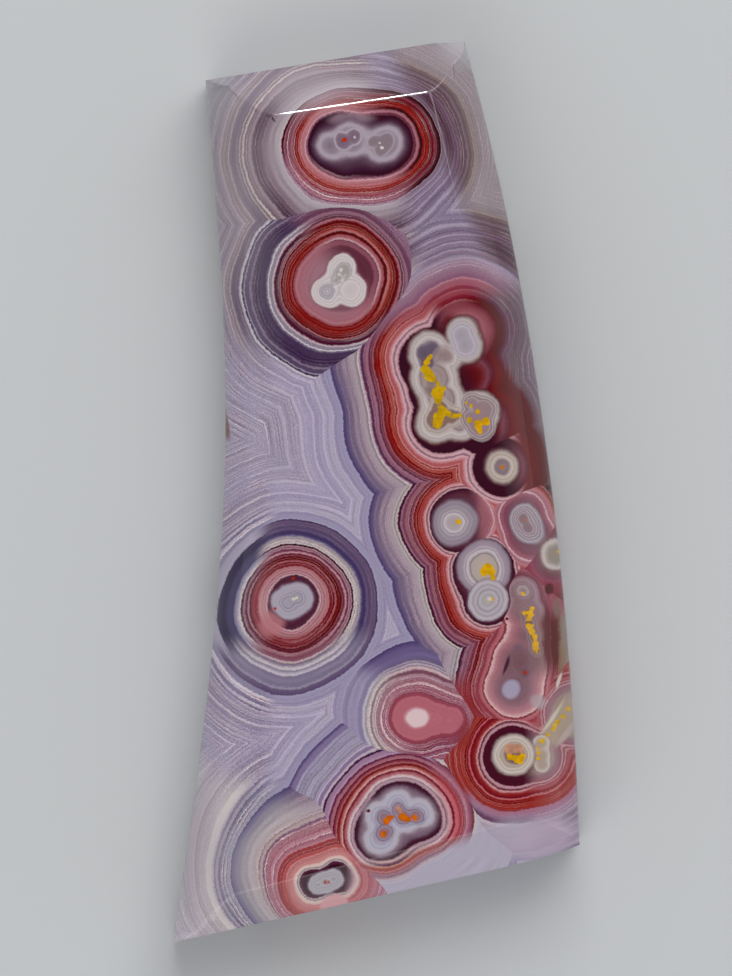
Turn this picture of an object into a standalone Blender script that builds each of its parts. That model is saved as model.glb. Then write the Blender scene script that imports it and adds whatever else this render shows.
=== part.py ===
"""A freeform coyamito agate: one piece of banded chalcedony, cut flat on its back, bevelled round its
face and polished. It lies on its back, face up, with its long side along Y.

Metres, +Z up. The origin is on the flat back, in the middle of the stone's length and width.
"""

import math

import bmesh
import bpy
from mathutils import Vector

MM = 0.001

# Overall form
THICKNESS = 6.0 * MM
OUTLINE_STEPS = 18  # straight pieces in each curved stretch of the outline

# The outline seen from the front, anticlockwise from the top right corner. Each corner or change of
# curve has a place and the two directions, as handles, in which the edge arrives and leaves.
OUTLINE_MM = {
    "top_right_corner": ((4.00, 20.27), (3.30, -11.6), (-0.5, 0.0)),
    "top_edge_bend": ((2.60, 20.24), (0.5, 0.0), (-2.0, -0.32)),
    "top_left_corner": ((-7.70, 18.56), (2.0, 0.32), (0.44, -5.0)),
    "left_waist": ((-6.80, 3.60), (0.0, 5.0), (0.0, -7.5)),
    "bottom_left_corner": ((-9.18, -20.27), (1.30, 8.2), (3.0, 0.66)),
    "bottom_edge_bend": ((5.40, -16.97), (-3.0, -0.68), (1.5, 0.34)),
    "bottom_right_corner": ((9.18, -15.86), (-1.0, -0.38), (-0.35, 11.0)),
}

# Shoulders ground along the two long sides, and the small chamfer round the back
LEFT_SHOULDER_TOP = 3.1 * MM
LEFT_SHOULDER_BOTTOM = 2.5 * MM
RIGHT_SHOULDER = 2.2 * MM
SHOULDER_STEPS = 7
SHOULDER_ROUNDNESS = 0.38  # 0.25 is a flat bevel, 0.5 a quarter round
BACK_CHAMFER = 0.35 * MM

# Flat bevels at the two ends: the ridge where each meets the face, and how steeply it drops outwards
TOP_END = {"ridge_mm": ((-4.46, 16.94), (2.43, 17.98)), "slope": 0.80}
BOTTOM_END = {"ridge_mm": ((-6.35, -18.02), (7.38, -14.51)), "slope": 0.80}

# The polished face bulges a little, about a middle line that leans with the stone
FACE_RADIUS_ACROSS = 160.0 * MM
FACE_RADIUS_ALONG = 1200.0 * MM
MIDDLE_AT_TOP = -1.85 * MM
HALF_LENGTH = 20.27 * MM
FACE_STRIP_ACROSS = 1.5 * MM
FACE_STRIP_ALONG = 3.4 * MM
STRIPS_EACH_WAY = 6


def clear_scene():
    for old in list(bpy.data.objects):
        bpy.data.objects.remove(old, do_unlink=True)


def parts_collection():
    made = bpy.data.collections.new("coyamito_agate")
    bpy.context.scene.collection.children.link(made)
    return made


def outline_curve(collection):
    """The outline as a closed curve, filled and extruded to the stone's thickness, back at z = 0."""
    curve = bpy.data.curves.new("agate_outline", "CURVE")
    curve.dimensions = "2D"
    curve.fill_mode = "BOTH"
    curve.extrude = THICKNESS / 2
    curve.resolution_u = OUTLINE_STEPS
    spline = curve.splines.new("BEZIER")
    spline.use_cyclic_u = True
    spline.bezier_points.add(len(OUTLINE_MM) - 1)
    for point, (place, arrive, leave) in zip(spline.bezier_points, OUTLINE_MM.values()):
        point.handle_left_type = "FREE"
        point.handle_right_type = "FREE"
        here = Vector((*place, 0.0)) * MM
        point.co = here
        point.handle_left = here + Vector((*arrive, 0.0)) * MM
        point.handle_right = here + Vector((*leave, 0.0)) * MM
    blank = bpy.data.objects.new("agate_outline", curve)
    blank.location = (0.0, 0.0, THICKNESS / 2)
    collection.objects.link(blank)
    return blank


def as_mesh(blank, name, collection):
    """The curve's solid as a mesh object, with one face on the front and one on the back."""
    bpy.context.view_layer.update()
    depsgraph = bpy.context.evaluated_depsgraph_get()
    mesh = bpy.data.meshes.new_from_object(blank.evaluated_get(depsgraph))
    mesh.transform(blank.matrix_world)
    bpy.data.objects.remove(blank, do_unlink=True)
    form = bmesh.new()
    form.from_mesh(mesh)
    bmesh.ops.remove_doubles(form, verts=form.verts, dist=0.001 * MM)
    flat = [edge for edge in form.edges if len(edge.link_faces) == 2 and edge.calc_face_angle() < 1e-4
            and abs(edge.link_faces[0].normal.z) > 0.9]
    bmesh.ops.dissolve_edges(form, edges=flat, use_verts=False)
    bmesh.ops.recalc_face_normals(form, faces=form.faces)
    form.to_mesh(mesh)
    form.free()
    mesh.name = name
    solid = bpy.data.objects.new(name, mesh)
    collection.objects.link(solid)
    return solid


def mark_edges(solid):
    """Gives the front's long sides their shoulder's width, and the edges of the back their chamfer."""
    mesh = solid.data
    shoulder = mesh.attributes.new("shoulder", "FLOAT", "EDGE")
    chamfer = mesh.attributes.new("chamfer", "FLOAT", "EDGE")
    for edge in mesh.edges:
        start, end = (mesh.vertices[index].co for index in edge.vertices)
        middle = (start + end) / 2
        run = end - start
        if abs(run.z) > 0.1 * MM:
            continue
        if middle.z < 0.1 * MM:
            chamfer.data[edge.index].value = 1.0
        elif abs(run.y) > abs(run.x):
            share = (middle.y + HALF_LENGTH) / (2 * HALF_LENGTH)
            left = LEFT_SHOULDER_BOTTOM + share * (LEFT_SHOULDER_TOP - LEFT_SHOULDER_BOTTOM)
            width = left if middle.x < 0 else RIGHT_SHOULDER
            shoulder.data[edge.index].value = width / LEFT_SHOULDER_TOP


def add_bevel(solid, name, weights, width, steps, roundness):
    bevel = solid.modifiers.new(name, "BEVEL")
    bevel.limit_method = "WEIGHT"
    bevel.edge_weight = weights
    bevel.width = width
    bevel.segments = steps
    bevel.profile = roundness
    bevel.use_clamp_overlap = False


def apply_modifiers(solid):
    bpy.context.view_layer.update()
    depsgraph = bpy.context.evaluated_depsgraph_get()
    made = bpy.data.meshes.new_from_object(solid.evaluated_get(depsgraph))
    solid.modifiers.clear()
    solid.data = made


def face_fall(x, y):
    """How far the bulging face lies below the stone's full thickness at a place seen from the front."""
    share_up = (y + HALF_LENGTH) / (2 * HALF_LENGTH)
    across = x - MIDDLE_AT_TOP * share_up
    return across**2 / (2 * FACE_RADIUS_ACROSS) + y**2 / (2 * FACE_RADIUS_ALONG)


def everything(form):
    return form.verts[:] + form.edges[:] + form.faces[:]


def add_strips(form):
    """Cuts the face into strips across and along, so that it can bulge."""
    for axis, step in ((Vector((1, 0, 0)), FACE_STRIP_ACROSS), (Vector((0, 1, 0)), FACE_STRIP_ALONG)):
        for index in range(-STRIPS_EACH_WAY, STRIPS_EACH_WAY + 1):
            front = [face for face in form.faces if face.normal.z > 0.99]
            bounds = {edge for face in front for edge in face.edges}
            bounds |= {vert for face in front for vert in face.verts}
            bmesh.ops.bisect_plane(
                form, geom=list(bounds) + front, dist=1e-7, plane_co=axis * index * step, plane_no=axis
            )


def bulge(form):
    """Lowers the face towards its edges. The lower a point is, the less it moves, and the back stays flat."""
    for vert in form.verts:
        vert.co.z -= face_fall(vert.co.x, vert.co.y) * (vert.co.z / THICKNESS) ** 2


def cut_end_bevel(form, ridge_mm, slope):
    """Cuts off what lies above the plane through a ridge on the face that drops towards the stone's end."""
    first, second = (Vector((*place, 0.0)) * MM for place in ridge_mm)
    for end in (first, second):
        end.z = THICKNESS - face_fall(end.x, end.y)
    along = (second - first).normalized()
    outwards = Vector((-along.y, along.x, 0.0)).normalized()
    if outwards.y * first.y < 0:
        outwards.negate()
    normal = along.cross(outwards - Vector((0.0, 0.0, slope))).normalized()
    if normal.z < 0:
        normal.negate()
    cut = bmesh.ops.bisect_plane(
        form, geom=everything(form), dist=1e-7, plane_co=first, plane_no=normal, clear_outer=True
    )
    rim = [item for item in cut["geom_cut"] if isinstance(item, bmesh.types.BMEdge)]
    bmesh.ops.edgeloop_fill(form, edges=rim)
    crowded = [vert for edge in rim for vert in edge.verts]
    bmesh.ops.remove_doubles(form, verts=list(set(crowded)), dist=0.02 * MM)


def agate_material():
    """Polished chalcedony: a hard gloss over lavender grey stone."""
    made = bpy.data.materials.new("polished_agate")
    made.use_nodes = True
    surface = made.node_tree.nodes["Principled BSDF"]
    surface.inputs["Base Color"].default_value = (0.42, 0.31, 0.37, 1.0)
    surface.inputs["Roughness"].default_value = 0.12
    surface.inputs["Metallic"].default_value = 0.0
    surface.inputs["IOR"].default_value = 1.54
    made.diffuse_color = (0.42, 0.31, 0.37, 1.0)
    return made


def make_agate(collection):
    blank = outline_curve(collection)
    agate = as_mesh(blank, "agate", collection)
    mark_edges(agate)
    add_bevel(agate, "back_chamfer", "chamfer", BACK_CHAMFER, 1, 0.5)
    add_bevel(agate, "side_shoulders", "shoulder", LEFT_SHOULDER_TOP, SHOULDER_STEPS, SHOULDER_ROUNDNESS)
    apply_modifiers(agate)
    form = bmesh.new()
    form.from_mesh(agate.data)
    for face in form.faces:
        face.smooth = True
    add_strips(form)
    bulge(form)
    bmesh.ops.triangulate(form, faces=form.faces)
    cut_end_bevel(form, **TOP_END)
    cut_end_bevel(form, **BOTTOM_END)
    bmesh.ops.recalc_face_normals(form, faces=form.faces)
    form.to_mesh(agate.data)
    form.free()
    agate.data.materials.append(agate_material())
    agate.data.set_sharp_from_angle(angle=math.radians(20))
    return agate


def main():
    clear_scene()
    collection = parts_collection()
    make_agate(collection)


main()
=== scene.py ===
# %% [markdown]
# A freeform coyamito agate, dressed for its portrait.
# Agate is chalcedony that grew in a cavity as thousands of thin layers. Where growth started on a small
# speck, the layers wrapped it in rings, and a cut across them shows an eye. The stone here is one solid
# piece, sawn flat behind, ground to a free outline, bevelled at both ends and polished.
# Two jobs follow: a finely modelled stone, and a material that grows the layers the way the agate did.

# %% The frame
import math
import random

import bmesh
import bpy
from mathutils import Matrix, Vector


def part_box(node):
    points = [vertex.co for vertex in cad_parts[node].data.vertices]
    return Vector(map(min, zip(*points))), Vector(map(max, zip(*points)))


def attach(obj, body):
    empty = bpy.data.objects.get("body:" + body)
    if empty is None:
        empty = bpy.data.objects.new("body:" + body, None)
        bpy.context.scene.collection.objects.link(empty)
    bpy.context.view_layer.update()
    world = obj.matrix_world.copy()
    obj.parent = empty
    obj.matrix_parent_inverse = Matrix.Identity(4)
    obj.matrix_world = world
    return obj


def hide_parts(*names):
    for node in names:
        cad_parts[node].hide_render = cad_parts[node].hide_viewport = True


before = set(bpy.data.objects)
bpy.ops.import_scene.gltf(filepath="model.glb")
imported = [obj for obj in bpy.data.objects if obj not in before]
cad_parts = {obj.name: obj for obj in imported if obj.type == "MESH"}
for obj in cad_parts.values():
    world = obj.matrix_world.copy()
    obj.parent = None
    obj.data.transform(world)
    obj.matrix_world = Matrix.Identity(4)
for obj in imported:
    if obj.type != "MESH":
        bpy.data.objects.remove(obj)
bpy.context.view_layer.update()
LOW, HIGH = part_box("agate")
MM = 0.001
print("stone, mm:", [round((b - a) / MM, 2) for a, b in zip(LOW, HIGH)])

# %% [markdown]
# The stone's outline is a free shape: two long sides that flow and two straight ends. It could be drawn
# as a polygon, but a closed Bezier curve with a point at each corner gives long, even sides from seven
# points, as a lapidary's template would. The curve is then made a mesh.

# %% Outline
CLOSE = 0.001 * MM  # points nearer than this are one
THICKNESS = HIGH.z - LOW.z
OUTLINE_STEPS = 40  # straight pieces in each stretch of the outline
OUTLINE_MM = {  # place, arriving handle, leaving handle, anticlockwise from the top right corner
    "top_right_corner": ((4.00, 20.27), (3.30, -11.6), (-0.5, 0.0)),
    "top_edge_bend": ((2.60, 20.24), (0.5, 0.0), (-2.0, -0.32)),
    "top_left_corner": ((-7.70, 18.56), (2.0, 0.32), (0.44, -5.0)),
    "left_waist": ((-6.80, 3.60), (0.0, 5.0), (0.0, -7.5)),
    "bottom_left_corner": ((-9.18, -20.27), (1.30, 8.2), (3.0, 0.66)),
    "bottom_edge_bend": ((5.40, -16.97), (-3.0, -0.68), (1.5, 0.34)),
    "bottom_right_corner": ((9.18, -15.86), (-1.0, -0.38), (-0.35, 11.0)),
}

bpy.ops.object.select_all(action="DESELECT")
bpy.ops.curve.primitive_bezier_circle_add(radius=HIGH.y, location=(0, 0, 0))
stone = bpy.context.object
stone.name = "polished_stone"
stone.data.resolution_u = OUTLINE_STEPS
points = stone.data.splines[0].bezier_points
points.add(len(OUTLINE_MM) - len(points))
for point, (place, arrive, leave) in zip(points, OUTLINE_MM.values()):
    point.handle_left_type = "FREE"
    point.handle_right_type = "FREE"
    here = Vector((*place, 0.0)) * MM
    point.co = here
    point.handle_left = here + Vector((*arrive, 0.0)) * MM
    point.handle_right = here + Vector((*leave, 0.0)) * MM
bpy.ops.object.convert(target="MESH")
print("outline points:", len(stone.data.vertices))

# %% [markdown]
# The sawn blank is a flat slab of that outline. In edit mode the outline is filled and extruded upwards,
# which leaves the back at height 0, where the stone lies on it.

# %% Blank
bpy.ops.object.mode_set(mode="EDIT")
bpy.ops.mesh.select_all(action="SELECT")
bpy.ops.mesh.remove_doubles(threshold=CLOSE)
bpy.ops.mesh.edge_face_add()
bpy.ops.mesh.extrude_region_move(TRANSFORM_OT_translate={"value": (0, 0, THICKNESS)})
bpy.ops.mesh.select_all(action="SELECT")
bpy.ops.mesh.normals_make_consistent(inside=False)
bpy.ops.object.mode_set(mode="OBJECT")
print("blank faces:", len(stone.data.polygons))

# %% [markdown]
# The two long sides were rounded over on the wheel, wider on the left, and the back edge has the narrow
# chamfer that keeps it from chipping. The width changes along the stone, so each edge carries a weight,
# kept in an attribute, and a Bevel modifier reads it. Bevelling by weight keeps the ends square.

# %% Shoulders and back chamfer
LEFT_SHOULDER_TOP = 3.1 * MM
LEFT_SHOULDER_BOTTOM = 2.5 * MM
RIGHT_SHOULDER = 2.2 * MM
SHOULDER_STEPS = 22
SHOULDER_ROUNDNESS = 0.38  # 0.25 is a flat bevel, 0.5 a quarter round
BACK_CHAMFER = 0.35 * MM
CHAMFER_STEPS = 2
FLAT = 0.1 * MM  # an edge that rises less lies flat

shoulder = stone.data.attributes.new("shoulder", "FLOAT", "EDGE")
chamfer = stone.data.attributes.new("chamfer", "FLOAT", "EDGE")
for edge in stone.data.edges:
    start, end = (stone.data.vertices[index].co for index in edge.vertices)
    middle = (start + end) / 2
    run = end - start
    if abs(run.z) > FLAT:
        continue
    if middle.z < FLAT:
        chamfer.data[edge.index].value = 1.0
    elif abs(run.y) > abs(run.x):
        share = (middle.y - LOW.y) / (HIGH.y - LOW.y)
        left = LEFT_SHOULDER_BOTTOM + share * (LEFT_SHOULDER_TOP - LEFT_SHOULDER_BOTTOM)
        shoulder.data[edge.index].value = (left if middle.x < 0 else RIGHT_SHOULDER) / LEFT_SHOULDER_TOP

for name, width, steps, roundness in (
    ("chamfer", BACK_CHAMFER, CHAMFER_STEPS, 0.5),
    ("shoulder", LEFT_SHOULDER_TOP, SHOULDER_STEPS, SHOULDER_ROUNDNESS),
):
    bevel = stone.modifiers.new(name, "BEVEL")
    bevel.limit_method = "WEIGHT"
    bevel.edge_weight = name
    bevel.width = width
    bevel.segments = steps
    bevel.profile = roundness
    bevel.use_clamp_overlap = False
    bpy.ops.object.modifier_apply(modifier=bevel.name)
print("with shoulders, faces:", len(stone.data.polygons))

# %% [markdown]
# Both ends were ground to a flat bevel that meets the face in a crisp ridge. A boolean with a block would
# do it too, but bisecting with a plane through the ridge and filling the cut is exact and leaves one clean
# face. Polishing takes the sharpness off every ridge, so the rim of the new face is bevelled a hair's
# breadth, which is what catches the light as a thin bright line.

# %% End bevels
TOP_RIDGE = (Vector((-4.46, 16.94, 0.0)) * MM, Vector((2.43, 17.98, 0.0)) * MM)
BOTTOM_RIDGE = (Vector((-6.35, -18.02, 0.0)) * MM, Vector((7.38, -14.51, 0.0)) * MM)
END_SLOPE = 0.80  # how far the cut drops for each mm outwards
RIDGE_ROUNDING = 0.07 * MM
RIDGE_STEPS = 4
LEAST_BEND = math.radians(8)  # edges that bend less aren't ridges
SAME_WAY = 0.999  # cosine between two directions that count as one
EXACTLY = 1e-7  # how near a point must lie to a plane to be on it, m
GROUND = 1  # material index that marks what is cut in strips further on


def cut_end(ridge, outwards_sign):
    """Grinds the end of the stone away above a plane that drops outwards from the ridge."""
    on_face = Vector((0, 0, HIGH.z))
    along = (ridge[1] - ridge[0]).normalized()
    outwards = Vector((-along.y, along.x, 0.0)) * outwards_sign
    normal = Vector((outwards.x * END_SLOPE, outwards.y * END_SLOPE, 1.0)).normalized()
    bpy.ops.mesh.select_all(action="SELECT")
    bpy.ops.mesh.bisect(
        plane_co=ridge[0] + on_face, plane_no=normal, use_fill=True, clear_outer=True, threshold=EXACTLY
    )
    form = bmesh.from_edit_mesh(stone.data)
    flat = max((f for f in form.faces if f.normal.dot(normal) > SAME_WAY), key=lambda f: f.calc_area())
    flat.material_index = GROUND
    for edge in form.edges:
        edge.select = edge in flat.edges and edge.calc_face_angle(0.0) > LEAST_BEND
    form.select_flush_mode()
    bmesh.update_edit_mesh(stone.data)
    bpy.ops.mesh.bevel(
        offset=RIDGE_ROUNDING, offset_type="OFFSET", segments=RIDGE_STEPS, profile=0.5, clamp_overlap=False
    )
    form = bmesh.from_edit_mesh(stone.data)
    for face in form.faces:
        if face.select:
            face.material_index = GROUND
    bmesh.update_edit_mesh(stone.data)


stone.data.materials.append(None)
stone.data.materials.append(None)
bpy.ops.object.mode_set(mode="EDIT")
bpy.ops.mesh.select_mode(type="EDGE")
cut_end(TOP_RIDGE, 1)
cut_end(BOTTOM_RIDGE, -1)
bpy.ops.object.mode_set(mode="OBJECT")
print("with end bevels, faces:", len(stone.data.polygons))

# %% [markdown]
# A hand-polished face is never quite flat, but one big face can't bend. Subdividing it would also cut up
# the shoulders, so the face and the end bevels are marked with a material of their own, and only they are
# cut in strips, by bisecting along and across.

# %% Strips
STRIP = 0.75 * MM


def cut_strips(axis, reach):
    """Bisects the marked faces by planes across an axis, a strip apart."""
    for number in range(-int(reach / STRIP), int(reach / STRIP) + 1):
        form = bmesh.from_edit_mesh(stone.data)
        for face in form.faces:
            face.select = face.material_index == GROUND
        form.select_flush_mode()
        bmesh.update_edit_mesh(stone.data)
        bpy.ops.mesh.bisect(plane_co=axis * number * STRIP, plane_no=axis, threshold=EXACTLY)


bpy.ops.object.mode_set(mode="EDIT")
bpy.ops.mesh.select_mode(type="FACE")
form = bmesh.from_edit_mesh(stone.data)
face_of_stone = max((f for f in form.faces if f.normal.z > SAME_WAY), key=lambda f: f.calc_area())
face_of_stone.material_index = GROUND
bmesh.update_edit_mesh(stone.data)
cut_strips(Vector((1, 0, 0)), HIGH.x)
cut_strips(Vector((0, 1, 0)), HIGH.y)
bpy.ops.object.mode_set(mode="OBJECT")
print("with strips, faces:", len(stone.data.polygons))

# %% [markdown]
# Now the face can bulge. It falls off by a quarter of a millimetre towards the sides, and that soft curve
# is what makes reflections drift across it. A Displace modifier lowers the surface by a vertex group whose
# weights follow the bulge and fade out downwards, so the back stays flat.

# %% Bulge
FACE_RADIUS_ACROSS = 160.0 * MM
FACE_RADIUS_ALONG = 1200.0 * MM
MIDDLE_AT_TOP = -1.85 * MM  # the crest of the bulge leans with the stone
DEEPEST = 0.6 * MM


def face_fall(x, y):
    """How far the bulging face lies below the full thickness at a place seen from the front."""
    across = x - MIDDLE_AT_TOP * (y - LOW.y) / (HIGH.y - LOW.y)
    return across**2 / (2 * FACE_RADIUS_ACROSS) + y**2 / (2 * FACE_RADIUS_ALONG)


bpy.ops.object.vertex_group_add()
group = stone.vertex_groups.active
for vert in stone.data.vertices:
    fall = face_fall(vert.co.x, vert.co.y) * (vert.co.z / THICKNESS) ** 2
    group.add([vert.index], fall / DEEPEST, "REPLACE")
sag = stone.modifiers.new("bulge", "DISPLACE")
sag.direction = "Z"
sag.mid_level = 0.0
sag.strength = -DEEPEST
sag.vertex_group = group.name
bpy.ops.object.modifier_apply(modifier=sag.name)
print("height now, mm:", round(max(v.co.z for v in stone.data.vertices) / MM, 3))

# %% [markdown]
# Near the right edge the growth left small hollows: a sliver lined with tiny quartz crystals, a
# three-cornered pit and a pinhole. Each is cut with a boolean. The cutter of the sliver is a stretched
# sphere whose points are pushed about by chance with a fixed seed, so its walls are small flat facets
# that glitter like the crystals.

# %% Hollows
CRYSTAL_RELIEF = 0.16  # how far the facets stand out, as a share of the cutter's size
rng = random.Random(7)


def add_cutter(place, size, turn, adder):
    """Adds a primitive at a place in mm, stretches it to a size in mm and turns it about the vertical."""
    bpy.ops.object.select_all(action="DESELECT")
    adder()
    made = bpy.context.object
    made.scale = Vector(size) * MM
    made.rotation_euler.z = math.radians(turn)
    made.location = Vector(place) * MM
    bpy.ops.object.transform_apply(location=True, rotation=True, scale=True)
    return made


def crystal_ball():
    """A ball with its points pushed about by chance."""
    bpy.ops.mesh.primitive_ico_sphere_add(subdivisions=3, radius=1.0)
    for vert in bpy.context.object.data.vertices:
        vert.co *= 1.0 + rng.uniform(-CRYSTAL_RELIEF, CRYSTAL_RELIEF)


def three_sided_cone():
    """A cone with three sides that widens upwards."""
    bpy.ops.mesh.primitive_cone_add(vertices=3, radius1=0.1, radius2=1.0, depth=1.0)


def pinhole():
    """A plain small ball."""
    bpy.ops.mesh.primitive_ico_sphere_add(subdivisions=2, radius=1.0)


cutters = [  # place, half sizes, turn in degrees and form
    add_cutter((8.36, -7.60, 5.05), (0.17, 0.62, 0.45), 6, crystal_ball),
    add_cutter((8.12, -7.95, 5.25), (0.16, 0.30, 0.40), -12, crystal_ball),
    add_cutter((7.84, -4.20, 5.45), (0.26, 0.26, 0.50), 20, three_sided_cone),
    add_cutter((7.74, 0.29, 5.60), (0.08, 0.08, 0.14), 0, pinhole),
]
for cutter in cutters:
    bpy.ops.object.select_all(action="DESELECT")
    bpy.context.view_layer.objects.active = stone
    stone.select_set(True)
    carve = stone.modifiers.new("hollow", "BOOLEAN")
    carve.operation = "DIFFERENCE"
    carve.solver = "EXACT"
    carve.object = cutter
    bpy.ops.object.modifier_apply(modifier=carve.name)
    bpy.data.objects.remove(cutter, do_unlink=True)
print("with hollows, faces:", len(stone.data.polygons))

# %% [markdown]
# The shading has to stay crisp at the ridges and even on the broad faces. Smoothing by angle keeps real
# edges sharp, and a Weighted Normal modifier lets the large faces decide the normals, so the narrow
# rounded ridges don't tint their surroundings.

# %% Smooth shading
SHARP_FROM = math.radians(24)
LARGE_FACES_LEAD = 80  # 50 lets all faces weigh alike

for polygon in stone.data.polygons:
    polygon.material_index = 0
stone.data.materials.pop(index=1)
bpy.ops.object.shade_smooth_by_angle(angle=SHARP_FROM)
weighted = stone.modifiers.new("even", "WEIGHTED_NORMAL")
weighted.keep_sharp = True
weighted.weight = LARGE_FACES_LEAD
bpy.ops.object.modifier_apply(modifier=weighted.name)
stone.vertex_groups.clear()
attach(stone, "root")
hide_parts("agate")
print("finished stone, triangles:", sum(len(p.vertices) - 2 for p in stone.data.polygons))

# %% [markdown]
# The material is polished chalcedony. Agate's colour is in its layers, so the material rebuilds them: the
# distance to each eye's first skin says which layer a point lies in, and a colour ramp says what colour
# that layer has. It is drawn by distance and not by an image, so it holds at any zoom and all round.
# First come the colours and one function that adds a node. Settings that come again and
# again have names. Inputs go by number. A Map Range node has the value, the two ends of the range it comes
# from and the two ends of the range it goes to as 0 to 4. A Mix node takes its share as 0, two numbers as
# 2 and 3, and two colours as 6 and 7, and gives the mixed colour as output 2. A noise takes a place as 0 or
# a number as 1, then its scale, detail and roughness as 2 to 4. A Hue Saturation node takes the saturation
# as 1, the brightness as 2 and the colour as 4.

# %% Colours and the node helper
COLOURS = {
    "white": "#DAD1D4", "cream": "#C9BFC0", "line_pink": "#D2ACB0", "pale_lavender": "#B5ADBD",
    "lavender": "#A69DB0", "plum": "#40232E", "light_plum": "#5A3444", "mauve": "#85586A",
    "light_mauve": "#9A6A78", "pink": "#B87C82", "salmon": "#A8605E", "red": "#94423F",
    "dark_red": "#7C2A28", "deep_red": "#5E1618", "maroon": "#4A1C28", "ochre": "#C6A038",
    "gold": "#D2A018", "orange": "#CC6A1C", "rust": "#B04020", "peach": "#C0907A", "amber": "#6B3A10",
}


def linear(colour):
    """Turns a colour's name or its sRGB hex value to the linear RGBA that Blender calculates with."""
    code = COLOURS.get(colour, colour)
    shares = [int(code[at:at + 2], 16) / 255 for at in (1, 3, 5)]
    return (*[s / 12.92 if s <= 0.04045 else ((s + 0.055) / 1.055) ** 2.4 for s in shares], 1.0)


agate = bpy.data.materials.new("polished_chalcedony")
agate.use_nodes = True
tree = agate.node_tree
surface = tree.nodes["Principled BSDF"]


def add_node(kind, settings, inputs, out=0, home=tree):
    """Adds a node, sets its options, fills or links its inputs by number, and gives back an output."""
    made = home.nodes.new(kind)
    for name, value in settings.items():
        setattr(made, name, value)
    for number, value in inputs.items():
        if isinstance(value, bpy.types.NodeSocket):
            home.links.new(value, made.inputs[number])
        else:
            made.inputs[number].default_value = value
    return made.outputs[out] if made.outputs else made


ADD = {"operation": "ADD"}
SUBTRACT = {"operation": "SUBTRACT"}
MULTIPLY = {"operation": "MULTIPLY"}
MULTIPLY_ADD = {"operation": "MULTIPLY_ADD"}
LESS_THAN = {"operation": "LESS_THAN"}
GREATER_THAN = {"operation": "GREATER_THAN"}
DOT_PRODUCT = {"operation": "DOT_PRODUCT"}
COLOURS_MIX = {"data_type": "RGBA"}
NUMBERS_MIX = {"data_type": "FLOAT"}
IN_SPACE = {"noise_dimensions": "3D"}
ALONG_A_LINE = {"noise_dimensions": "1D"}
OPEN = {"clamp": False}  # a Map Range that goes on past its ends
SMOOTH = {"clamp": False, "interpolation_type": "SMOOTHSTEP"}  # levels off by itself at both ends
print("colours:", len(COLOURS))

# %% [markdown]
# The growth surfaces are not perfect circles. The place that the distances are measured from wanders by a
# fraction of a millimetre, slowly, and the fibrous layers are ragged at a twentieth of a millimetre.
# What the eye sees from the front is measured straight down. Below that, the columns lean towards the
# back, as real ones do, so the sides show slanted bands and the back another cut through the same eyes.

# %% Place in the stone
WANDER = ((2.4, 0.20), (0.585, 0.03))  # wavelength and full width of the shift, mm
RAG = ((0.13, 0.03), (0.06, 0.022))
SEEN_DEPTH = 2.8  # what the front view shows lies above this height, mm
LEAN_TO_BACK = (0.9, -0.7, 0.0)
EYES_SHRINK = 0.45  # how much nearer the back's rings lie to their centres, mm
MIDDLE_OF_NOISE = 0.5


def add_waviness(where, wavelength, width, base):
    """Adds a noise to a number. Its wavelength and its full width are in mm."""
    noise = add_node("ShaderNodeTexNoise", IN_SPACE, {0: where, 2: 1 / wavelength, 3: 0.0})
    centred = add_node("ShaderNodeMath", SUBTRACT, {0: noise, 1: MIDDLE_OF_NOISE})
    return add_node("ShaderNodeMath", MULTIPLY_ADD, {0: centred, 1: width * 2, 2: base})


coordinates = add_node("ShaderNodeTexCoord", {}, {}, out=3)
in_mm = add_node("ShaderNodeVectorMath", {"operation": "SCALE"}, {0: coordinates, 3: 1 / MM})
split = add_node("ShaderNodeSeparateXYZ", {}, {0: in_mm})
x_mm, y_mm, z_mm = split.node.outputs
depth = add_node("ShaderNodeMapRange", SMOOTH, {0: z_mm, 1: SEEN_DEPTH, 2: 0.0, 3: 0.0, 4: 1.0})
place = add_node("ShaderNodeCombineXYZ", {}, {0: x_mm, 1: y_mm, 2: 0.0})
lean = add_node("ShaderNodeVectorMath", {"operation": "SCALE"}, {0: LEAN_TO_BACK, 3: depth})
place = add_node("ShaderNodeVectorMath", ADD, {0: place, 1: lean})
below = add_node("ShaderNodeCombineXYZ", {}, {0: 0.0, 1: 0.0, 2: depth})
spot = add_node("ShaderNodeVectorMath", ADD, {0: place, 1: below})
for wavelength, width in WANDER:
    noise = add_node("ShaderNodeTexNoise", IN_SPACE, {0: spot, 2: 1 / wavelength, 3: 0.0}, out=1)
    centred = add_node("ShaderNodeVectorMath", SUBTRACT, {0: noise, 1: (MIDDLE_OF_NOISE,) * 3})
    shift = add_node("ShaderNodeVectorMath", MULTIPLY, {0: centred, 1: (width * 2, width * 2, 0.0)})
    place = add_node("ShaderNodeVectorMath", ADD, {0: place, 1: shift})
rag = add_node("ShaderNodeMath", MULTIPLY, {0: depth, 1: EYES_SHRINK})
for wavelength, width in RAG:
    rag = add_waviness(in_mm, wavelength, width, rag)
print("nodes so far:", len(tree.nodes))

# %% [markdown]
# Each eye is a small table, measured on the stone in millimetres.
# "skin" is the first white layer: one circle for a round eye, several melted together for a long one.
# "bands" gives the colour at distances from the skin, less than zero inside it, and a third number there
# says how strongly fine lines show. A word in place of a hex value is one of the colours above.
# "start" is the age of the skin, and "reach" is where the eye's own layers end and the common ones begin.
# "lean" makes the layers thicker towards one side of a place, more and more between two distances.
# "jumps" add to the age between two distances, so that the right common layers follow the eye's own.
# "turns" name other bands that take over along a direction across the stone, between two places on it.

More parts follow.
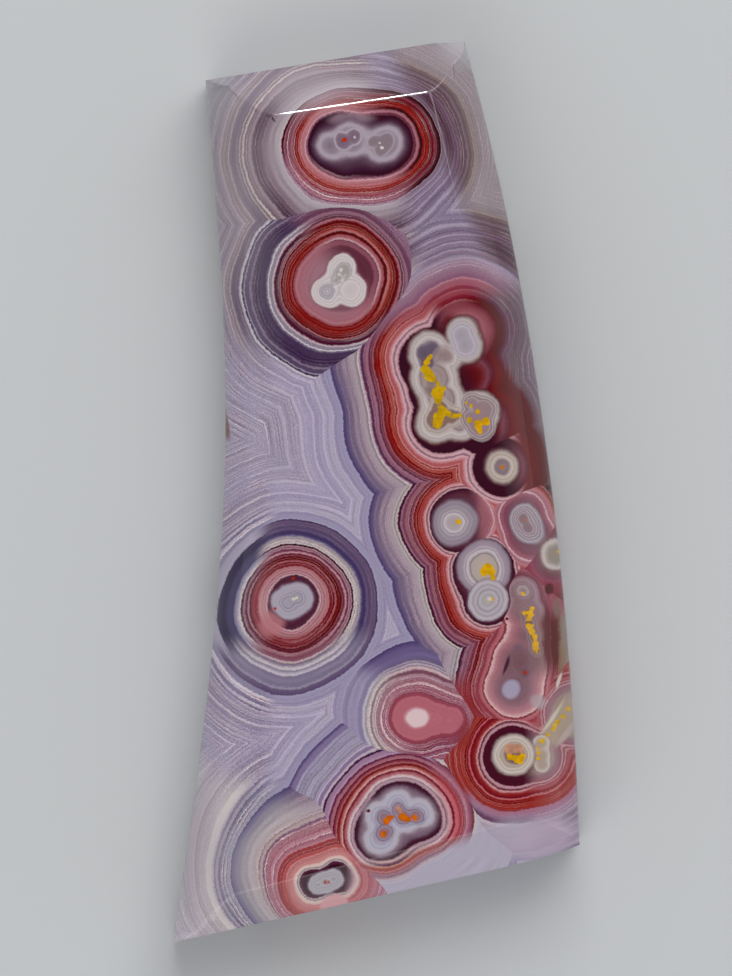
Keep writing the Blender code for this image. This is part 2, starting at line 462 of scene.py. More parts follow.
# %% Eyes
EYES = {
    "top": {
        "skin": [(-1.68, 15.57, 1.32), (0.36, 15.55, 1.3)], "skin_blend": 1.8,
        "start": 0.58, "reach": 1.37,
        "lean": (-0.06, -0.078), "lean_about": (-5.6, 14.0), "lean_span": (0.9, 1.8),
        "bands": "-0.54 #5E4654, -0.25 #4A3040, -0.05 #3A1E2C, 0.05 plum, 0.1 mauve, 0.15 light_mauve,"
        "0.19 line_pink, 0.23 pink, 0.4 pink 0.3, 0.45 salmon 0.3, 0.56 #90383A 0.5, 0.7 dark_red 0.5,"
        "0.76 deep_red 0.3, 0.8 #B07A84, 0.86 #87505E 0.6, 1.16 #74404E 0.6, 1.22 maroon, 1.29 maroon,"
        "1.33 #C8B4BA, 1.37 #B8ACB2",
        "turns": [(0.9, 0.4, 5.6, 7.6, "top_right"), (-0.3, -1.0, -14.3, -13.0, "top_down")],
    },
    "second": {
        "skin": [(-1.71, 9.47, 1.84)],
        "start": 0.52, "reach": 2.24,
        "lean": (-0.08, -0.06), "lean_about": (-1.71, 9.47), "lean_span": (0.9, 2.7),
        "jumps": [(1.3, 2.21, 0.99), (2.21, 2.93, 0.22)],
        "bands": "-0.63 #9E7680, -0.4 #A0707A, -0.14 #A46E78, -0.05 #B07C82, 0.05 #9A5C64, 0.12 dark_red,"
        "0.31 dark_red 0.4, 0.36 red, 0.42 dark_red 0.4, 0.58 #6A1E20 0.4, 0.64 deep_red, 0.68 #B07A80,"
        "0.74 #4E2232 0.4, 0.97 #50263A 0.4, 1.03 #C8B0B4, 1.09 #8E8290 0.5, 1.2 #8E8290, 1.24 white,"
        "1.28 #8A7C8C, 1.35 #4E3E58, 1.6 #42304C 0.3, 1.8 #463652 0.3, 1.85 #8A7A8C, 1.91 #5A4A62,"
        "2.02 #5A4A62, 2.05 #A89CAC, 2.09 #4A3C56, 2.13 #4A3C56, 2.17 white, 2.22 lavender",
        "turns": [(0.75, 0.66, 4.7, 6.2, "second_right")],
    },
    "cluster": {
        "skin": [
            (3.96, 7.18, 1.48), (2.56, 5.87, 1.57), (2.92, 4.7, 1.53), (3.06, 3.26, 1.53),
            (4.68, 3.08, 1.4), (4.2, 5.3, 1.1),
        ],
        "skin_blend": 0.27, "start": 0.02, "reach": 2.0,
        "bands": "cluster",
        "turns": [
            (1.0, 0.5, 6.2, 7.4, "soft_red"), (1.0, 0.9, 10.3, 11.2, "soft_up"),
            (-0.35, 1.0, 6.7, 8.0, "cluster_up"),
        ],
    },
    "bead": {
        "skin": [(5.58, 1.19, 1.3)],
        "start": 0.02, "reach": 2.0,
        "bands": "cluster",
        "turns": [(1.0, 0.12, 6.0, 6.9, "soft_red")],
    },
    "left_bead": {
        "skin": [(3.82, -1.28, 1.4)],
        "start": 0.36, "reach": 1.62,
        "bands": "beads",
        "turns": [(1.0, 0.1, 4.1, 4.9, "beads_right")],
    },
    "pair": {
        "skin": [(4.86, -3.58, 1.44), (5.13, -4.75, 1.21)], "skin_blend": 0.54,
        "start": 0.34, "reach": 1.62,
        "bands": "beads",
    },
    "right_bead": {
        "skin": [(6.61, -1.06, 1.12), (6.93, -1.87, 1.12)], "skin_blend": 0.36,
        "start": 0.22, "reach": 1.64,
        "bands": "-0.5 #74505C, -0.2 #8A5664, -0.04 #9A6672, 0 line_pink, 0.09 light_mauve, 0.22 pink,"
        "0.32 salmon, 0.4 dark_red 0.5, 0.63 deep_red 0.4, 1.17 #5A1E26 0.3, 1.62 mauve",
    },
    "edge_bead": {
        "skin": [(8.1, -2.72, 1.17)],
        "start": 0.22, "reach": 1.35,
        "bands": "-0.45 #7E5A5E, -0.14 #74414F, 0 #86485A, 0.22 #8A3E4A, 1.35 #5F262C",
    },
    "stalk": {
        "skin": [
            (6.61, -4.39, 0.77), (6.71, -5.38, 0.9), (6.8, -6.46, 0.9), (6.48, -7.65, 1.26),
            (6.21, -8.73, 1.35),
        ],
        "skin_blend": 0.54, "start": 0.27, "reach": 1.64,
        "bands": "-1.3 #785860, -0.75 #7E6066, -0.5 #8E6870, -0.36 #A27078, -0.2 #AC7C84, -0.12 #C89A9C,"
        "-0.04 #D4B4B0, 0 #8E4E58, 0.05 #7E3E48, 0.09 #B8747A, 0.2 #A8646C, 0.28 #8A444C,"
        "0.36 #94505A 0.3, 0.5 #7A3038 0.4, 0.56 #B87880, 0.6 #7C3438 0.4, 0.74 deep_red, 0.78 #A86A74,"
        "0.84 #7C3A48 0.4, 0.95 #70404E 0.4, 1 #A06874, 1.06 #6E3E50 0.4, 1.2 #9A7282, 1.28 #5A3044,"
        "1.37 plum, 1.41 #C8BCC0 0.5, 1.5 #7E7076, 1.55 #B0A4A8, 1.62 #A298A0",
        "turns": [
            (1.0, 0.0, 6.9, 7.4, "stalk_right"), (0.0, 1.0, -5.9, -4.9, "stalk_top"),
            (0.1, -1.0, 8.2, 9.4, "stalk_low"),
        ],
    },
    "left": {
        "skin": [(-3.6, -4.79, 1.08), (-3.96, -5.33, 0.9)], "skin_blend": 0.9,
        "start": 0.16, "reach": 2.62,
        "lean": (0, -0.06), "lean_about": (-3.6, -4.79), "lean_span": (1.35, 3.6),
        "jumps": [(0.5, 2.6, 0.3)],
        "bands": "-0.36 light_plum, -0.05 #52303E, 0.03 line_pink, 0.08 #8E5C68, 0.13 #C0949A,"
        "0.19 #98646E, 0.25 #BC8E92, 0.31 #A8747A, 0.38 #B47E82, 0.43 #7A2A30 0.3, 0.52 #80343A 0.3,"
        "0.59 #5E1E24, 0.64 #AE7078, 0.69 #802C32 0.4, 0.78 #60181E 0.4, 0.86 #5E1A20, 0.9 #8E525C,"
        "0.95 #562A34, 1 #8A5662, 1.05 #C49AA0, 1.1 #8A5264, 1.16 #5A3040, 1.21 #B08894, 1.26 #7A5262,"
        "1.31 #B48E98, 1.35 #4A2A34, 1.4 #3A2028, 1.44 #CFC4C4 0.6, 1.5 #C4B8B8 0.8, 1.58 #B0A6A8 0.8,"
        "1.7 #A89EA2 0.3, 1.74 #8A8090, 1.82 #51466A, 1.95 #4A3F60, 2.1 #5E4F6E 0.2, 2.5 #66546E 0.2,"
        "2.57 #43365A, 2.61 #A79DB0",
        "turns": [(-1.0, 0.0, 4.6, 5.6, "left_left"), (0.1, -1.0, 5.7, 7.0, "left_down")],
    },
    "pink": {
        "skin": [(1.86, -10.08, 1.08), (2.61, -10.12, 0.77), (3.27, -10.21, 0.6)], "skin_blend": 0.2,
        "start": 0.77, "reach": 2.3,
        "bands": "-0.63 #B4707A, -0.05 #B4707A, 0.02 #96505C, 0.14 #96505C, 0.2 #9A6672 0.5,"
        "0.3 #A87A86 0.9, 0.5 #A87884 1, 0.54 #C8A8AC 0.9, 0.58 #A07684 0.9, 0.72 #A08088 0.9,"
        "0.85 #A89096 0.8, 0.92 #CFBAB6 0.8, 0.98 #8C7C84, 1.04 #8C7C84, 1.1 #C4B8B8 0.7,"
        "1.22 #C8BCBC 0.7, 1.28 #938A94, 1.33 #BDB4BE, 1.4 #B4ACB8, 1.46 #8F86A0, 1.62 #8F86A0,"
        "1.68 #9C92AC, 2.07 #9C92AC 0.2, 2.12 #877C98, 2.2 #9488A2 0.2, 2.3 #9A90AA",
        "turns": [(0.4, 1.0, -8.9, -7.4, "pink_up"), (0.5, -1.0, 11.8, 12.8, "pink_down")],
    },
    "tail": {
        "skin": [(6.17, -11.81, 1.53), (7.29, -11.9, 1.17), (8.87, -10.01, 1.44)], "skin_blend": 0.45,
        "start": 0.27, "reach": 1.74,
        "bands": "-0.5 #4C2430, -0.16 #4C2430, -0.1 #C89CA4, -0.03 #A87C86, 0.02 #6A3A44, 0.06 #6A3A44,"
        "0.1 #D0A0A4, 0.16 #B87074, 0.2 #94423F, 0.36 #7A2C34, 0.42 #7A2C34, 0.46 #C07C80,"
        "0.52 #8E302E 0.4, 0.62 #7A2428 0.4, 0.68 #98403C 0.4, 0.9 #98403C 0.3, 0.98 #8A4046, 1 #A67080,"
        "1.2 #A07A90 0.3, 1.3 #8A6C84, 1.42 #6A4A60, 1.5 #6A4A60, 1.54 #C4B4BC, 1.65 #B8A6B0, 1.72 #A296A6",
        "turns": [(-1.0, 0.3, -8.6, -7.8, "tail_left"), (1.0, 0.0, 6.5, 7.4, "tail_right")],
    },
    "lower": {
        "skin": [(0.4, -15.28, 1.3), (1.03, -14.38, 1.35), (1.62, -14.56, 1.3)], "skin_blend": 0.54,
        "start": 0.22, "reach": 3.5,
        "jumps": [(1.7, 3.49, -0.6)],
        "bands": "-0.54 #8A7884, -0.3 #7A6472, -0.18 #4E303E, -0.05 plum, 0.02 #A88A96, 0.09 #B89AA4,"
        "0.13 #8A6674, 0.19 #D4C0C2, 0.25 #CDB0B4, 0.3 #B87E84, 0.38 #A86A70, 0.43 #8A4850, 0.5 #6E2A34,"
        "0.55 #D6A8A6, 0.6 #C08080, 0.66 #B0625E 0.3, 0.72 #7A2A28 0.4, 0.78 #6A1E22, 0.83 #A8666A,"
        "0.88 #8E4A54 0.4, 0.96 #7A3A46, 1 #5A2030, 1.05 #A87480, 1.14 #A06874, 1.19 #7A4458,"
        "1.26 #5A2A44, 1.31 #B492AA, 1.4 #A07E98, 1.54 #9A7A92, 1.58 #4A2A4A, 1.64 #4A2A4A, 1.7 #C4B4BC,"
        "1.76 #B8A4B4, 1.82 #8A7494, 1.93 #8E7A98, 1.99 #BDB0BE, 2.05 #8E8098, 2.1 #B0A4B4, 2.16 #8A7C96,"
        "2.25 #A9A0B0, 2.35 #9A94A8 0.3, 2.55 #A29AAC 0.3, 2.6 #8A8098, 2.7 #9A94A8 0.3, 2.9 #A29AAE 0.3,"
        "2.96 #8E84A0, 3.05 #A29AAE 0.3, 3.15 #857698, 3.33 #80728F, 3.38 #655880, 3.47 #5A4E72,"
        "3.5 #B4ACC0",
        "turns": [(1.0, 0.2, -0.4, 0.6, "lower_right"), (0.25, -1.0, 16.2, 17.0, "lower_down")],
    },
    "corner": {
        "skin": [(-2.83, -17.57, 0.85), (-1.75, -17.3, 0.9)], "skin_blend": 0.63,
        "start": 0.27, "reach": 1.6,
        "lean": (0, 0.17), "lean_about": (-2.8, -17.5), "lean_span": (0.4, 2.0),
        "bands": "-0.32 plum, -0.16 light_plum, -0.12 #BFB0B0, -0.06 #8E7E88, 0 #D8C0B8, 0.09 #D8B8B0,"
        "0.14 #C88C8C, 0.36 #C08080 0.3, 0.42 #B0605E 0.4, 0.63 #A8585A 0.5, 0.68 #96484A 0.5,"
        "0.8 #96484A, 0.85 #C09096, 0.9 #A87080 0.6, 1.3 #A87C84 0.9, 1.38 #7A5A74, 1.43 #B8A4A4,"
        "1.55 #A89496 0.9, 1.62 #B0A4A6 0.5",
        "turns": [(1.0, -0.2, 2.0, 2.6, "corner_right")],
    },
}
print("eyes:", len(EYES))

# %% [markdown]
# No eye looks the same all round: iron stained one side redder, or its colour faded. Mixing a tint over
# that side would also tint its white skins, so such a side has bands of its own, and neighbouring eyes
# that grew together share a list.

# %% Sides of the eyes
SHARED_BANDS = {
    "top_right": "-0.54 plum, 0 plum, 0.06 #7A4853, 0.1 #5A2834, 0.16 #A87480, 0.24 #A06A76, 0.3 #4A1014,"
    "0.38 #3A0608, 0.42 #8A3438, 0.46 #842A26 0.4, 0.62 #8E302A 0.5, 0.72 #61191A 0.5, 0.86 #742F38 0.5,"
    "0.92 #8A505C, 0.98 #4D1B27 0.5, 1.1 #5A2430 0.4, 1.16 #3A0C14, 1.28 #340A10, 1.32 #A08894,"
    "1.37 #8A7A88",
    "top_down": "-0.54 plum, -0.05 plum, 0.03 line_pink, 0.08 #7A4A58, 0.12 light_mauve, 0.17 #C08A8E,"
    "0.34 #B87478 0.3, 0.42 #A85A58 0.4, 0.52 #9C4642 0.5, 0.72 #8E3A38 0.5, 0.82 #94505A 0.8,"
    "0.95 #A87480 1, 1.14 #A0707E 1, 1.24 #8A5A70 0.6, 1.36 #A08A9C 0.4",
    "second_right": "-0.63 #643A46, -0.27 #643A46, -0.18 #8E5A66, -0.06 #8A5664, -0.03 light_plum,"
    "0.02 line_pink, 0.09 #A86A70, 0.18 #9A5A60, 0.23 #5A1616, 0.32 #5A1616, 0.37 #BC8082, 0.45 #A8605E,"
    "0.5 #8A2A22 0.3, 0.56 #7A3430 0.4, 0.68 #7A3430 0.4, 0.73 #5E1C20, 0.79 #5E1C20, 0.83 #84404A,"
    "0.91 #B07A82, 0.97 #5A2A3C 0.5, 1.08 #5A2A3C 0.5, 1.15 #8A6474, 1.28 #94707E, 1.32 #6A4458,"
    "1.55 #6A4458 0.5, 1.6 #84607A 0.5, 2.3 #8A6A7E 0.5",
    "cluster": "-0.63 plum, -0.02 plum, 0.05 #B88E98, 0.12 line_pink, 0.19 #8E6C78, 0.22 #8E6C78,"
    "0.27 #D4AEB2, 0.36 #C58A90, 0.45 salmon, 0.53 #B4686A, 0.57 #CC9090, 0.61 red 0.4, 0.76 #A04A42 0.4,"
    "0.79 #B06A64, 0.83 #8A2A24 0.4, 1.03 dark_red 0.4, 1.08 #5A1A22, 1.14 #A8666E, 1.2 #7C4252 0.4,"
    "1.33 #5A3040, 1.4 #A07082, 1.48 #9A6A7C, 1.53 #7A5064 0.4, 1.64 #5C3850, 1.7 #5C3850, 1.76 #B498A8,"
    "1.83 #D0C2C2 0.5, 1.88 #8E8086, 1.93 #94868C, 1.98 #AA9EA2",
    "cluster_up": "-0.9 #8A4656, -0.46 #8E4A58, -0.43 #B07880, -0.36 #A06068, -0.05 #B0727A, 0 #C48E94,"
    "0.05 #8E3E48, 0.22 #8E3E48, 0.27 #9A525A, 0.43 #9C545C, 0.47 #AC686E, 0.52 #8A4450, 0.63 #8A4450,"
    "0.7 #9C5E6A, 0.95 #A46A76, 1 #B48890, 1.05 #8A6074, 1.2 #8A6478, 1.5 #9A7C8C 0.3, 1.7 #A08A9A 0.3,"
    "1.98 #9A8CA0 0.3",
    "soft_red": "-0.9 #64282A, -0.6 #6C3034, -0.4 #784248, -0.3 #7E4C56, -0.2 #6A3A46, -0.05 #642A30,"
    "0.14 #6A2022, 0.32 #661410, 0.6 #5C0C08, 0.7 #5E1614, 0.85 #5E2A2E, 1 #664850, 1.2 #766068,"
    "1.5 #84727A 0.3, 1.98 #84727A",
    "soft_up": "-0.9 #A0686E, -0.6 #9A626A, -0.35 #8A4E56, -0.2 #743A42, -0.05 #5E1A1C, 0.1 #541416,"
    "0.2 #54202A, 0.32 #5A3040, 0.5 #654857 0.3, 1 #69575E 0.3, 1.98 #7C6C7C 0.3",
    "beads": "-0.63 #6E4A56, -0.25 #5A3440, -0.03 plum, 0.03 line_pink, 0.09 #8A5662, 0.13 #9A6A74,"
    "0.17 #D4AAAC, 0.23 #C58A90, 0.3 salmon, 0.34 #8A4044, 0.38 #A8504C 0.3, 0.5 red 0.4,"
    "0.58 #8A302C 0.5, 0.65 dark_red 0.5, 0.72 deep_red, 0.75 #B47A80, 0.8 #7C3A48 0.4, 0.94 #70404E 0.4,"
    "1 #A06874, 1.06 #93626E, 1.12 #6E3E50 0.4, 1.18 #7A4E5E, 1.24 #A07888, 1.28 #5A3044, 1.37 plum,"
    "1.41 #D0C4C2 0.5, 1.46 #B9A9A6, 1.5 #7E7076, 1.54 #B8ACAC, 1.6 #ADA2A4",
    "beads_right": "-0.6 #6E4452, -0.3 #94606C, -0.05 #A8747C, 0 line_pink, 0.07 #B07A80, 0.14 #C89498,"
    "0.2 #B4686C, 0.3 #A85C60, 0.36 #D0A0A0, 0.42 #A8504C, 0.52 deep_red, 0.62 red, 0.7 #B4686C,"
    "1.62 #A05058",
    "stalk_right": "-1.3 #785860, -0.5 #7C5C60, -0.3 #8E706E, -0.16 #7A5658, -0.06 #683438, 0.04 #5A262C,"
    "0.2 #64282C 0.2, 0.36 #5C1E20, 0.5 #5A2018, 0.56 #6A4438, 0.7 #8A786C, 1.6 #94847A",
    "stalk_low": "-1.3 #7C5E68, -0.75 #84666E, -0.5 #96707A, -0.36 #AC7C84, -0.2 #B4828A, -0.12 #C89A9C,"
    "-0.04 #D4B4B0, 0 #8E4E58, 0.05 #7E3E48, 0.09 #B8747A, 0.2 #A8646C, 0.28 #8E444A, 0.36 #98505A 0.2,"
    "0.5 #843A40 0.3, 0.56 #B87880, 0.6 #883C40 0.3, 0.8 #8E4044 0.3, 1.6 #924850 0.3",
    "stalk_top": "-0.8 #8A6C72, -0.3 #8E7278, -0.16 #9A8088, -0.05 #8A6670, 0.02 #703E4A, 0.2 #8E525E 0.2,"
    "0.5 #94525E 0.3, 1.6 #8A4650 0.3",
    "tail_right": "-1.4 #A89888, -0.5 #A08A84, -0.36 #94747A, -0.12 #8E5E6A, -0.05 #C49A9C, 0 #6A3440,"
    "0.05 #C08A8E, 0.12 #94525A, 0.2 #A86068, 0.3 #94423F, 0.36 #7A2C34, 0.46 #C07C80, 0.52 #8E302E 0.4,"
    "0.68 #98403C 0.4, 0.9 #98403C 0.3, 0.98 #8A4046, 1 #A67080, 1.2 #A07A90 0.3, 1.74 #A296A6 0.3",
    "left_left": "-0.36 plum, -0.1 plum, -0.04 #BE8E94, 0.3 #C6969A 0.2, 0.36 salmon, 0.42 #8A3E48 0.3,"
    "0.63 #8A3E48, 0.67 maroon, 0.72 light_plum, 0.77 #C08A92, 0.84 #4A1A28, 0.9 #6A3E50, 0.97 #A07A88,"
    "1.03 #4A2234, 1.08 #4A2234, 1.13 #D0C6C6 0.6, 1.2 #BDB2B8 0.6, 1.3 #8D86A0, 1.36 #8D86A0,"
    "1.42 #4B4262, 1.7 #4B4262, 1.8 #352A4A, 2.15 #2F2544, 2.2 #B0A6B8, 2.62 #A39AAE",
    "left_down": "-0.36 light_plum, -0.05 light_plum, 0 line_pink, 0.1 #C8969A 0.3, 0.2 #9A5A62,"
    "0.25 #6A161C, 0.42 #7A1F24, 0.47 #B87A80, 0.52 #8A3E44 0.4, 0.7 deep_red, 0.74 #A8666C,"
    "0.8 #5A1E28 0.3, 0.95 #5A2A34, 1 #B08088, 1.06 #7A4654 0.5, 1.3 #8A5E6C, 1.36 #C8B8BA 0.5,"
    "1.42 #7A6674, 1.5 #94889A, 1.64 #CFC6C8 0.5, 1.7 #8A8094, 1.84 #C4BCC4 0.3, 1.9 #837A90,"
    "2.3 #837A90 0.2, 2.36 #9A92A6, 2.42 #6C5C74, 2.6 #5E5070, 2.62 #A79DB0",
    "pink_up": "-0.63 #B4707A, -0.05 #B4707A, 0.02 #93505C, 0.14 #8E5060 0.5, 0.36 #9A6070 0.9,"
    "0.5 #A87884 0.9, 0.56 #C8A0A6 1, 0.6 #9A6E7A 0.9, 0.72 #9A6E7A 0.7, 0.8 #A07C88 0.5,"
    "0.89 #B08C96 0.8, 0.94 #7A5260, 1.04 #7A5260, 1.1 #C4A8AC, 1.16 #CDB4B8, 1.22 #8A7886, 1.28 #C0B0BA,"
    "1.34 #7E6E80, 1.4 #A698A8, 1.45 #6C6078, 1.55 #75688A, 2 #6C6084, 2.2 #5A4C70, 2.3 #54466A",
    "pink_down": "-0.63 #B4707A, -0.05 #B4707A, 0.02 #8E4A56, 0.2 #8A4A5A 0.6, 0.6 #8A5064 0.8,"
    "0.9 #94566A 0.8, 1.4 #8A4A5C 0.6, 2.3 #8A4A5C 0.6",
    "tail_left": "-0.5 #451A22, -0.16 #451A22, -0.1 #BB9098, -0.03 #A87C86, 0.02 #5A2A34, 0.06 #6A3A44,"
    "0.1 #D0A0A4, 0.16 #B87074, 0.2 #94423F, 0.36 #7A2C34, 0.42 #7A2C34, 0.46 #B87078, 0.52 #8E302E 0.4,"
    "0.62 #7A2428 0.4, 0.68 #98403C 0.3, 1.1 #98403C 0.3, 1.74 #8A4046 0.5",
    "lower_right": "-0.54 #8A7884, -0.25 #7A6472, -0.1 light_plum, 0 #C8A0A8, 0.09 #C8A0A8, 0.14 #6E4050,"
    "0.2 #8A5868, 0.26 #D0A0A4, 0.36 #D0A0A4, 0.41 #8A3A44, 0.48 #6E2A34, 0.54 #C07078, 0.68 #C07078,"
    "0.74 #A04A50, 0.85 #A04A50 0.4, 0.95 #9A5A68 0.4, 1.15 #A87080 0.4, 1.3 #8A5464, 1.42 #6A3A4C,"
    "1.47 #CDB8AC, 1.54 #BFB2BA, 1.7 pale_lavender, 3.5 pale_lavender",
    "lower_down": "-0.54 plum, -0.1 plum, -0.04 #C8A8A8, 0.03 #E0BCB4, 0.09 #8A5A6A, 0.14 #5A2A4A,"
    "0.2 #5A2A4A, 0.25 #D49C80, 0.3 #A85C58, 0.42 #9A5050, 0.46 #C08280, 0.54 #9A6068, 0.6 #A07884 0.4,"
    "0.75 #947484 0.4, 0.8 #B89AA2, 0.88 #BDB0BA, 1 pale_lavender, 3.5 pale_lavender",
    "corner_right": "-0.32 #A0808C, -0.1 #C4A4AA, 0 #D8C0B8, 0.09 #C89A9A, 0.18 #A85C60, 0.3 #C08084,"
    "0.5 #A86068 0.4, 0.7 #B47A84, 1 #A87080 0.5, 1.62 #B08C98 0.4",
}
print("lists for sides:", len(SHARED_BANDS))

# %% [markdown]
# Further out the same layers wrap all the eyes together, and only their tone changes across the stone:
# brown-grey above, lavender in the middle, warm grey in the corner. The distances here are ages.

# %% Common layers
COMMON_BANDS = {
    "outer_upper": "0 mauve, 1.85 #B8A4A8, 1.89 #CFC4C4, 1.96 #C0B4B8, 2.15 #A89CA2, 2.4 #9E9097 0.1,"
    "2.7 #8A7882 0.2, 2.8 #6E5A68 0.3, 3.1 #503C4B 0.3, 3.19 #54404F 0.3, 3.23 #9C8A93, 3.34 #8C7A83 0.3,"
    "3.42 #7A626E 0.4, 3.52 #6E5862 0.4, 3.56 #D2C6C4 0.4, 3.6 #D2C6C4 0.4, 3.64 #7A6468, 3.69 #6E5A60,"
    "3.73 #BDB0B4, 3.77 #7A6A72, 3.82 #66566A 0.3, 4.12 #6C5C70 0.3, 4.19 #7A6A7C, 4.22 #C4B8BC,"
    "4.28 #8C7A80 0.4, 4.55 #8E8088 0.4, 4.6 #BDB0B8, 4.67 #968896 0.4, 4.8 #867A8A 0.4, 4.98 #8C8090 0.4,"
    "5.04 #B4A8B4, 5.11 #7E7284 0.4, 5.31 #857A8A 0.4, 5.36 #ACA0AE, 5.45 #8E8596 0.4, 7.65 #9A92A2 0.4",
    "outer_middle": "0 mauve, 1.78 #5C3850, 1.83 #C0B0B6, 1.87 #C0B0B6, 1.92 #8E7E88, 1.97 #B4A4AC,"
    "2.1 #A6959F 0.3, 2.25 #9A8894 0.4, 2.5 #8A788A 0.4, 2.65 #7E6E84 0.3, 2.8 #70627E 0.2, 2.95 #5C4E72,"
    "3.04 #524668, 3.07 #A199B4, 3.25 #9C94AC 0.15, 3.45 #948AA6 0.15, 3.52 #BDB5C4, 3.6 #ADA5B8 0.3,"
    "3.9 #A59DB2 0.3, 3.96 #BCB4C4, 4.05 #A8A0B6 0.3, 4.35 #9E95AE 0.3, 4.41 #BDB5C6, 4.5 #A69DB4 0.3,"
    "4.9 #ACA4B8 0.3, 4.96 #C0B8C6, 5.05 #A69DB0 0.35, 5.6 #A69DB0 0.35, 5.66 #BAB2C0, 5.75 #9E95A8 0.35,"
    "7.65 #A59CB0 0.4",
    "outer_corner": "0 mauve, 1.88 #B0A4A6 0.5, 2 #B8ACAE, 2.3 #ADA3A8 0.15, 2.45 #A09AA0 0.15,"
    "2.7 #948C98, 2.9 #7E7690, 3.05 #625A74, 3.08 #A2A2B0 0.5, 3.25 #9C98A8 0.8, 3.5 #8E8A9C 0.8,"
    "3.6 #6E6A80 0.5, 3.66 #A8A0AC, 3.78 #857C90 0.5, 3.88 #B8ACB4, 4 #D0C8C6, 4.13 #CFC8C4,"
    "4.25 #BDB4B8 0.3, 4.6 #B4AAB0 0.3, 4.66 #A09498, 4.72 #BDB2B8, 5.2 #B4AAB4 0.3, 5.26 #A69CA2,"
    "5.34 #BDB4BC 0.3, 7.65 #B8B0BC 0.3",
    "outer_left": "0 mauve, 1.78 #5C3850, 1.9 #8E8086, 2.1 #A3979B, 2.8 #7E708A, 3.04 #4E4268,"
    "3.07 #8A8098, 3.24 #8F86A0 0.3, 3.32 #D4CCD2 0.9, 3.42 #C8C0CC 0.9, 3.48 #857A96 0.5,"
    "3.62 #8A7F9A 0.6, 3.68 #C0B8C6 0.6, 3.78 #8E839C 0.6, 3.98 #948AA0 0.7, 4.04 #C4BCC8 0.6,"
    "4.14 #8C829A 0.7, 4.4 #9C92A8 0.7, 4.46 #C8C0CC 0.6, 4.56 #8E849C 0.7, 5 #A69CB2 0.7,"
    "7.65 #A59CB0 0.7",
    "outer_plum": "0 mauve, 1.85 #7A6472, 1.95 #6E5866 0.2, 2.2 #6A5462 0.3, 2.35 #523845 0.3,"
    "2.9 #4B303E 0.3, 3 #7A5E70, 3.06 #492D3F, 3.12 #7C6074, 3.2 #5E4651 0.3, 3.55 #5B434E 0.3,"
    "3.62 #7A646C, 3.72 #5E4850 0.3, 3.95 #6E5A5C, 4.02 #9A8A80, 4.1 #84767A 0.3, 4.5 #94888C 0.3,"
    "7.65 #9A8E96 0.3",
    "outer_right": "0 mauve, 1.9 #9A8694, 2 #7C687C 0.3, 2.2 #8A788C 0.3, 2.26 #AC9EB0, 2.32 #7E6C82 0.3,"
    "2.55 #8A7A90 0.3, 2.6 #B0A2B2, 2.66 #806E86 0.3, 2.9 #88788E 0.3, 2.96 #AA9CAE, 3.05 #6E5C74 0.3,"
    "3.3 #8C7E94 0.3, 3.36 #B4A8B8, 3.45 #86788E 0.3, 3.9 #8E8298 0.3, 3.96 #AEA2B2, 4.1 #85788E 0.3,"
    "5 #8E8296 0.3, 7.65 #9A90A0 0.3",
}
SHARED_BANDS.update(COMMON_BANDS)
print("lists of common layers:", len(COMMON_BANDS))

# %% [markdown]
# In the middle of each eye lies clear or milky chalcedony with fine rings of its own. The bands could go on
# inwards, but the centres have other outlines than the skins. So they get circles of their own, melted
# together in the same way, and bands that end by letting the layers underneath shine through.

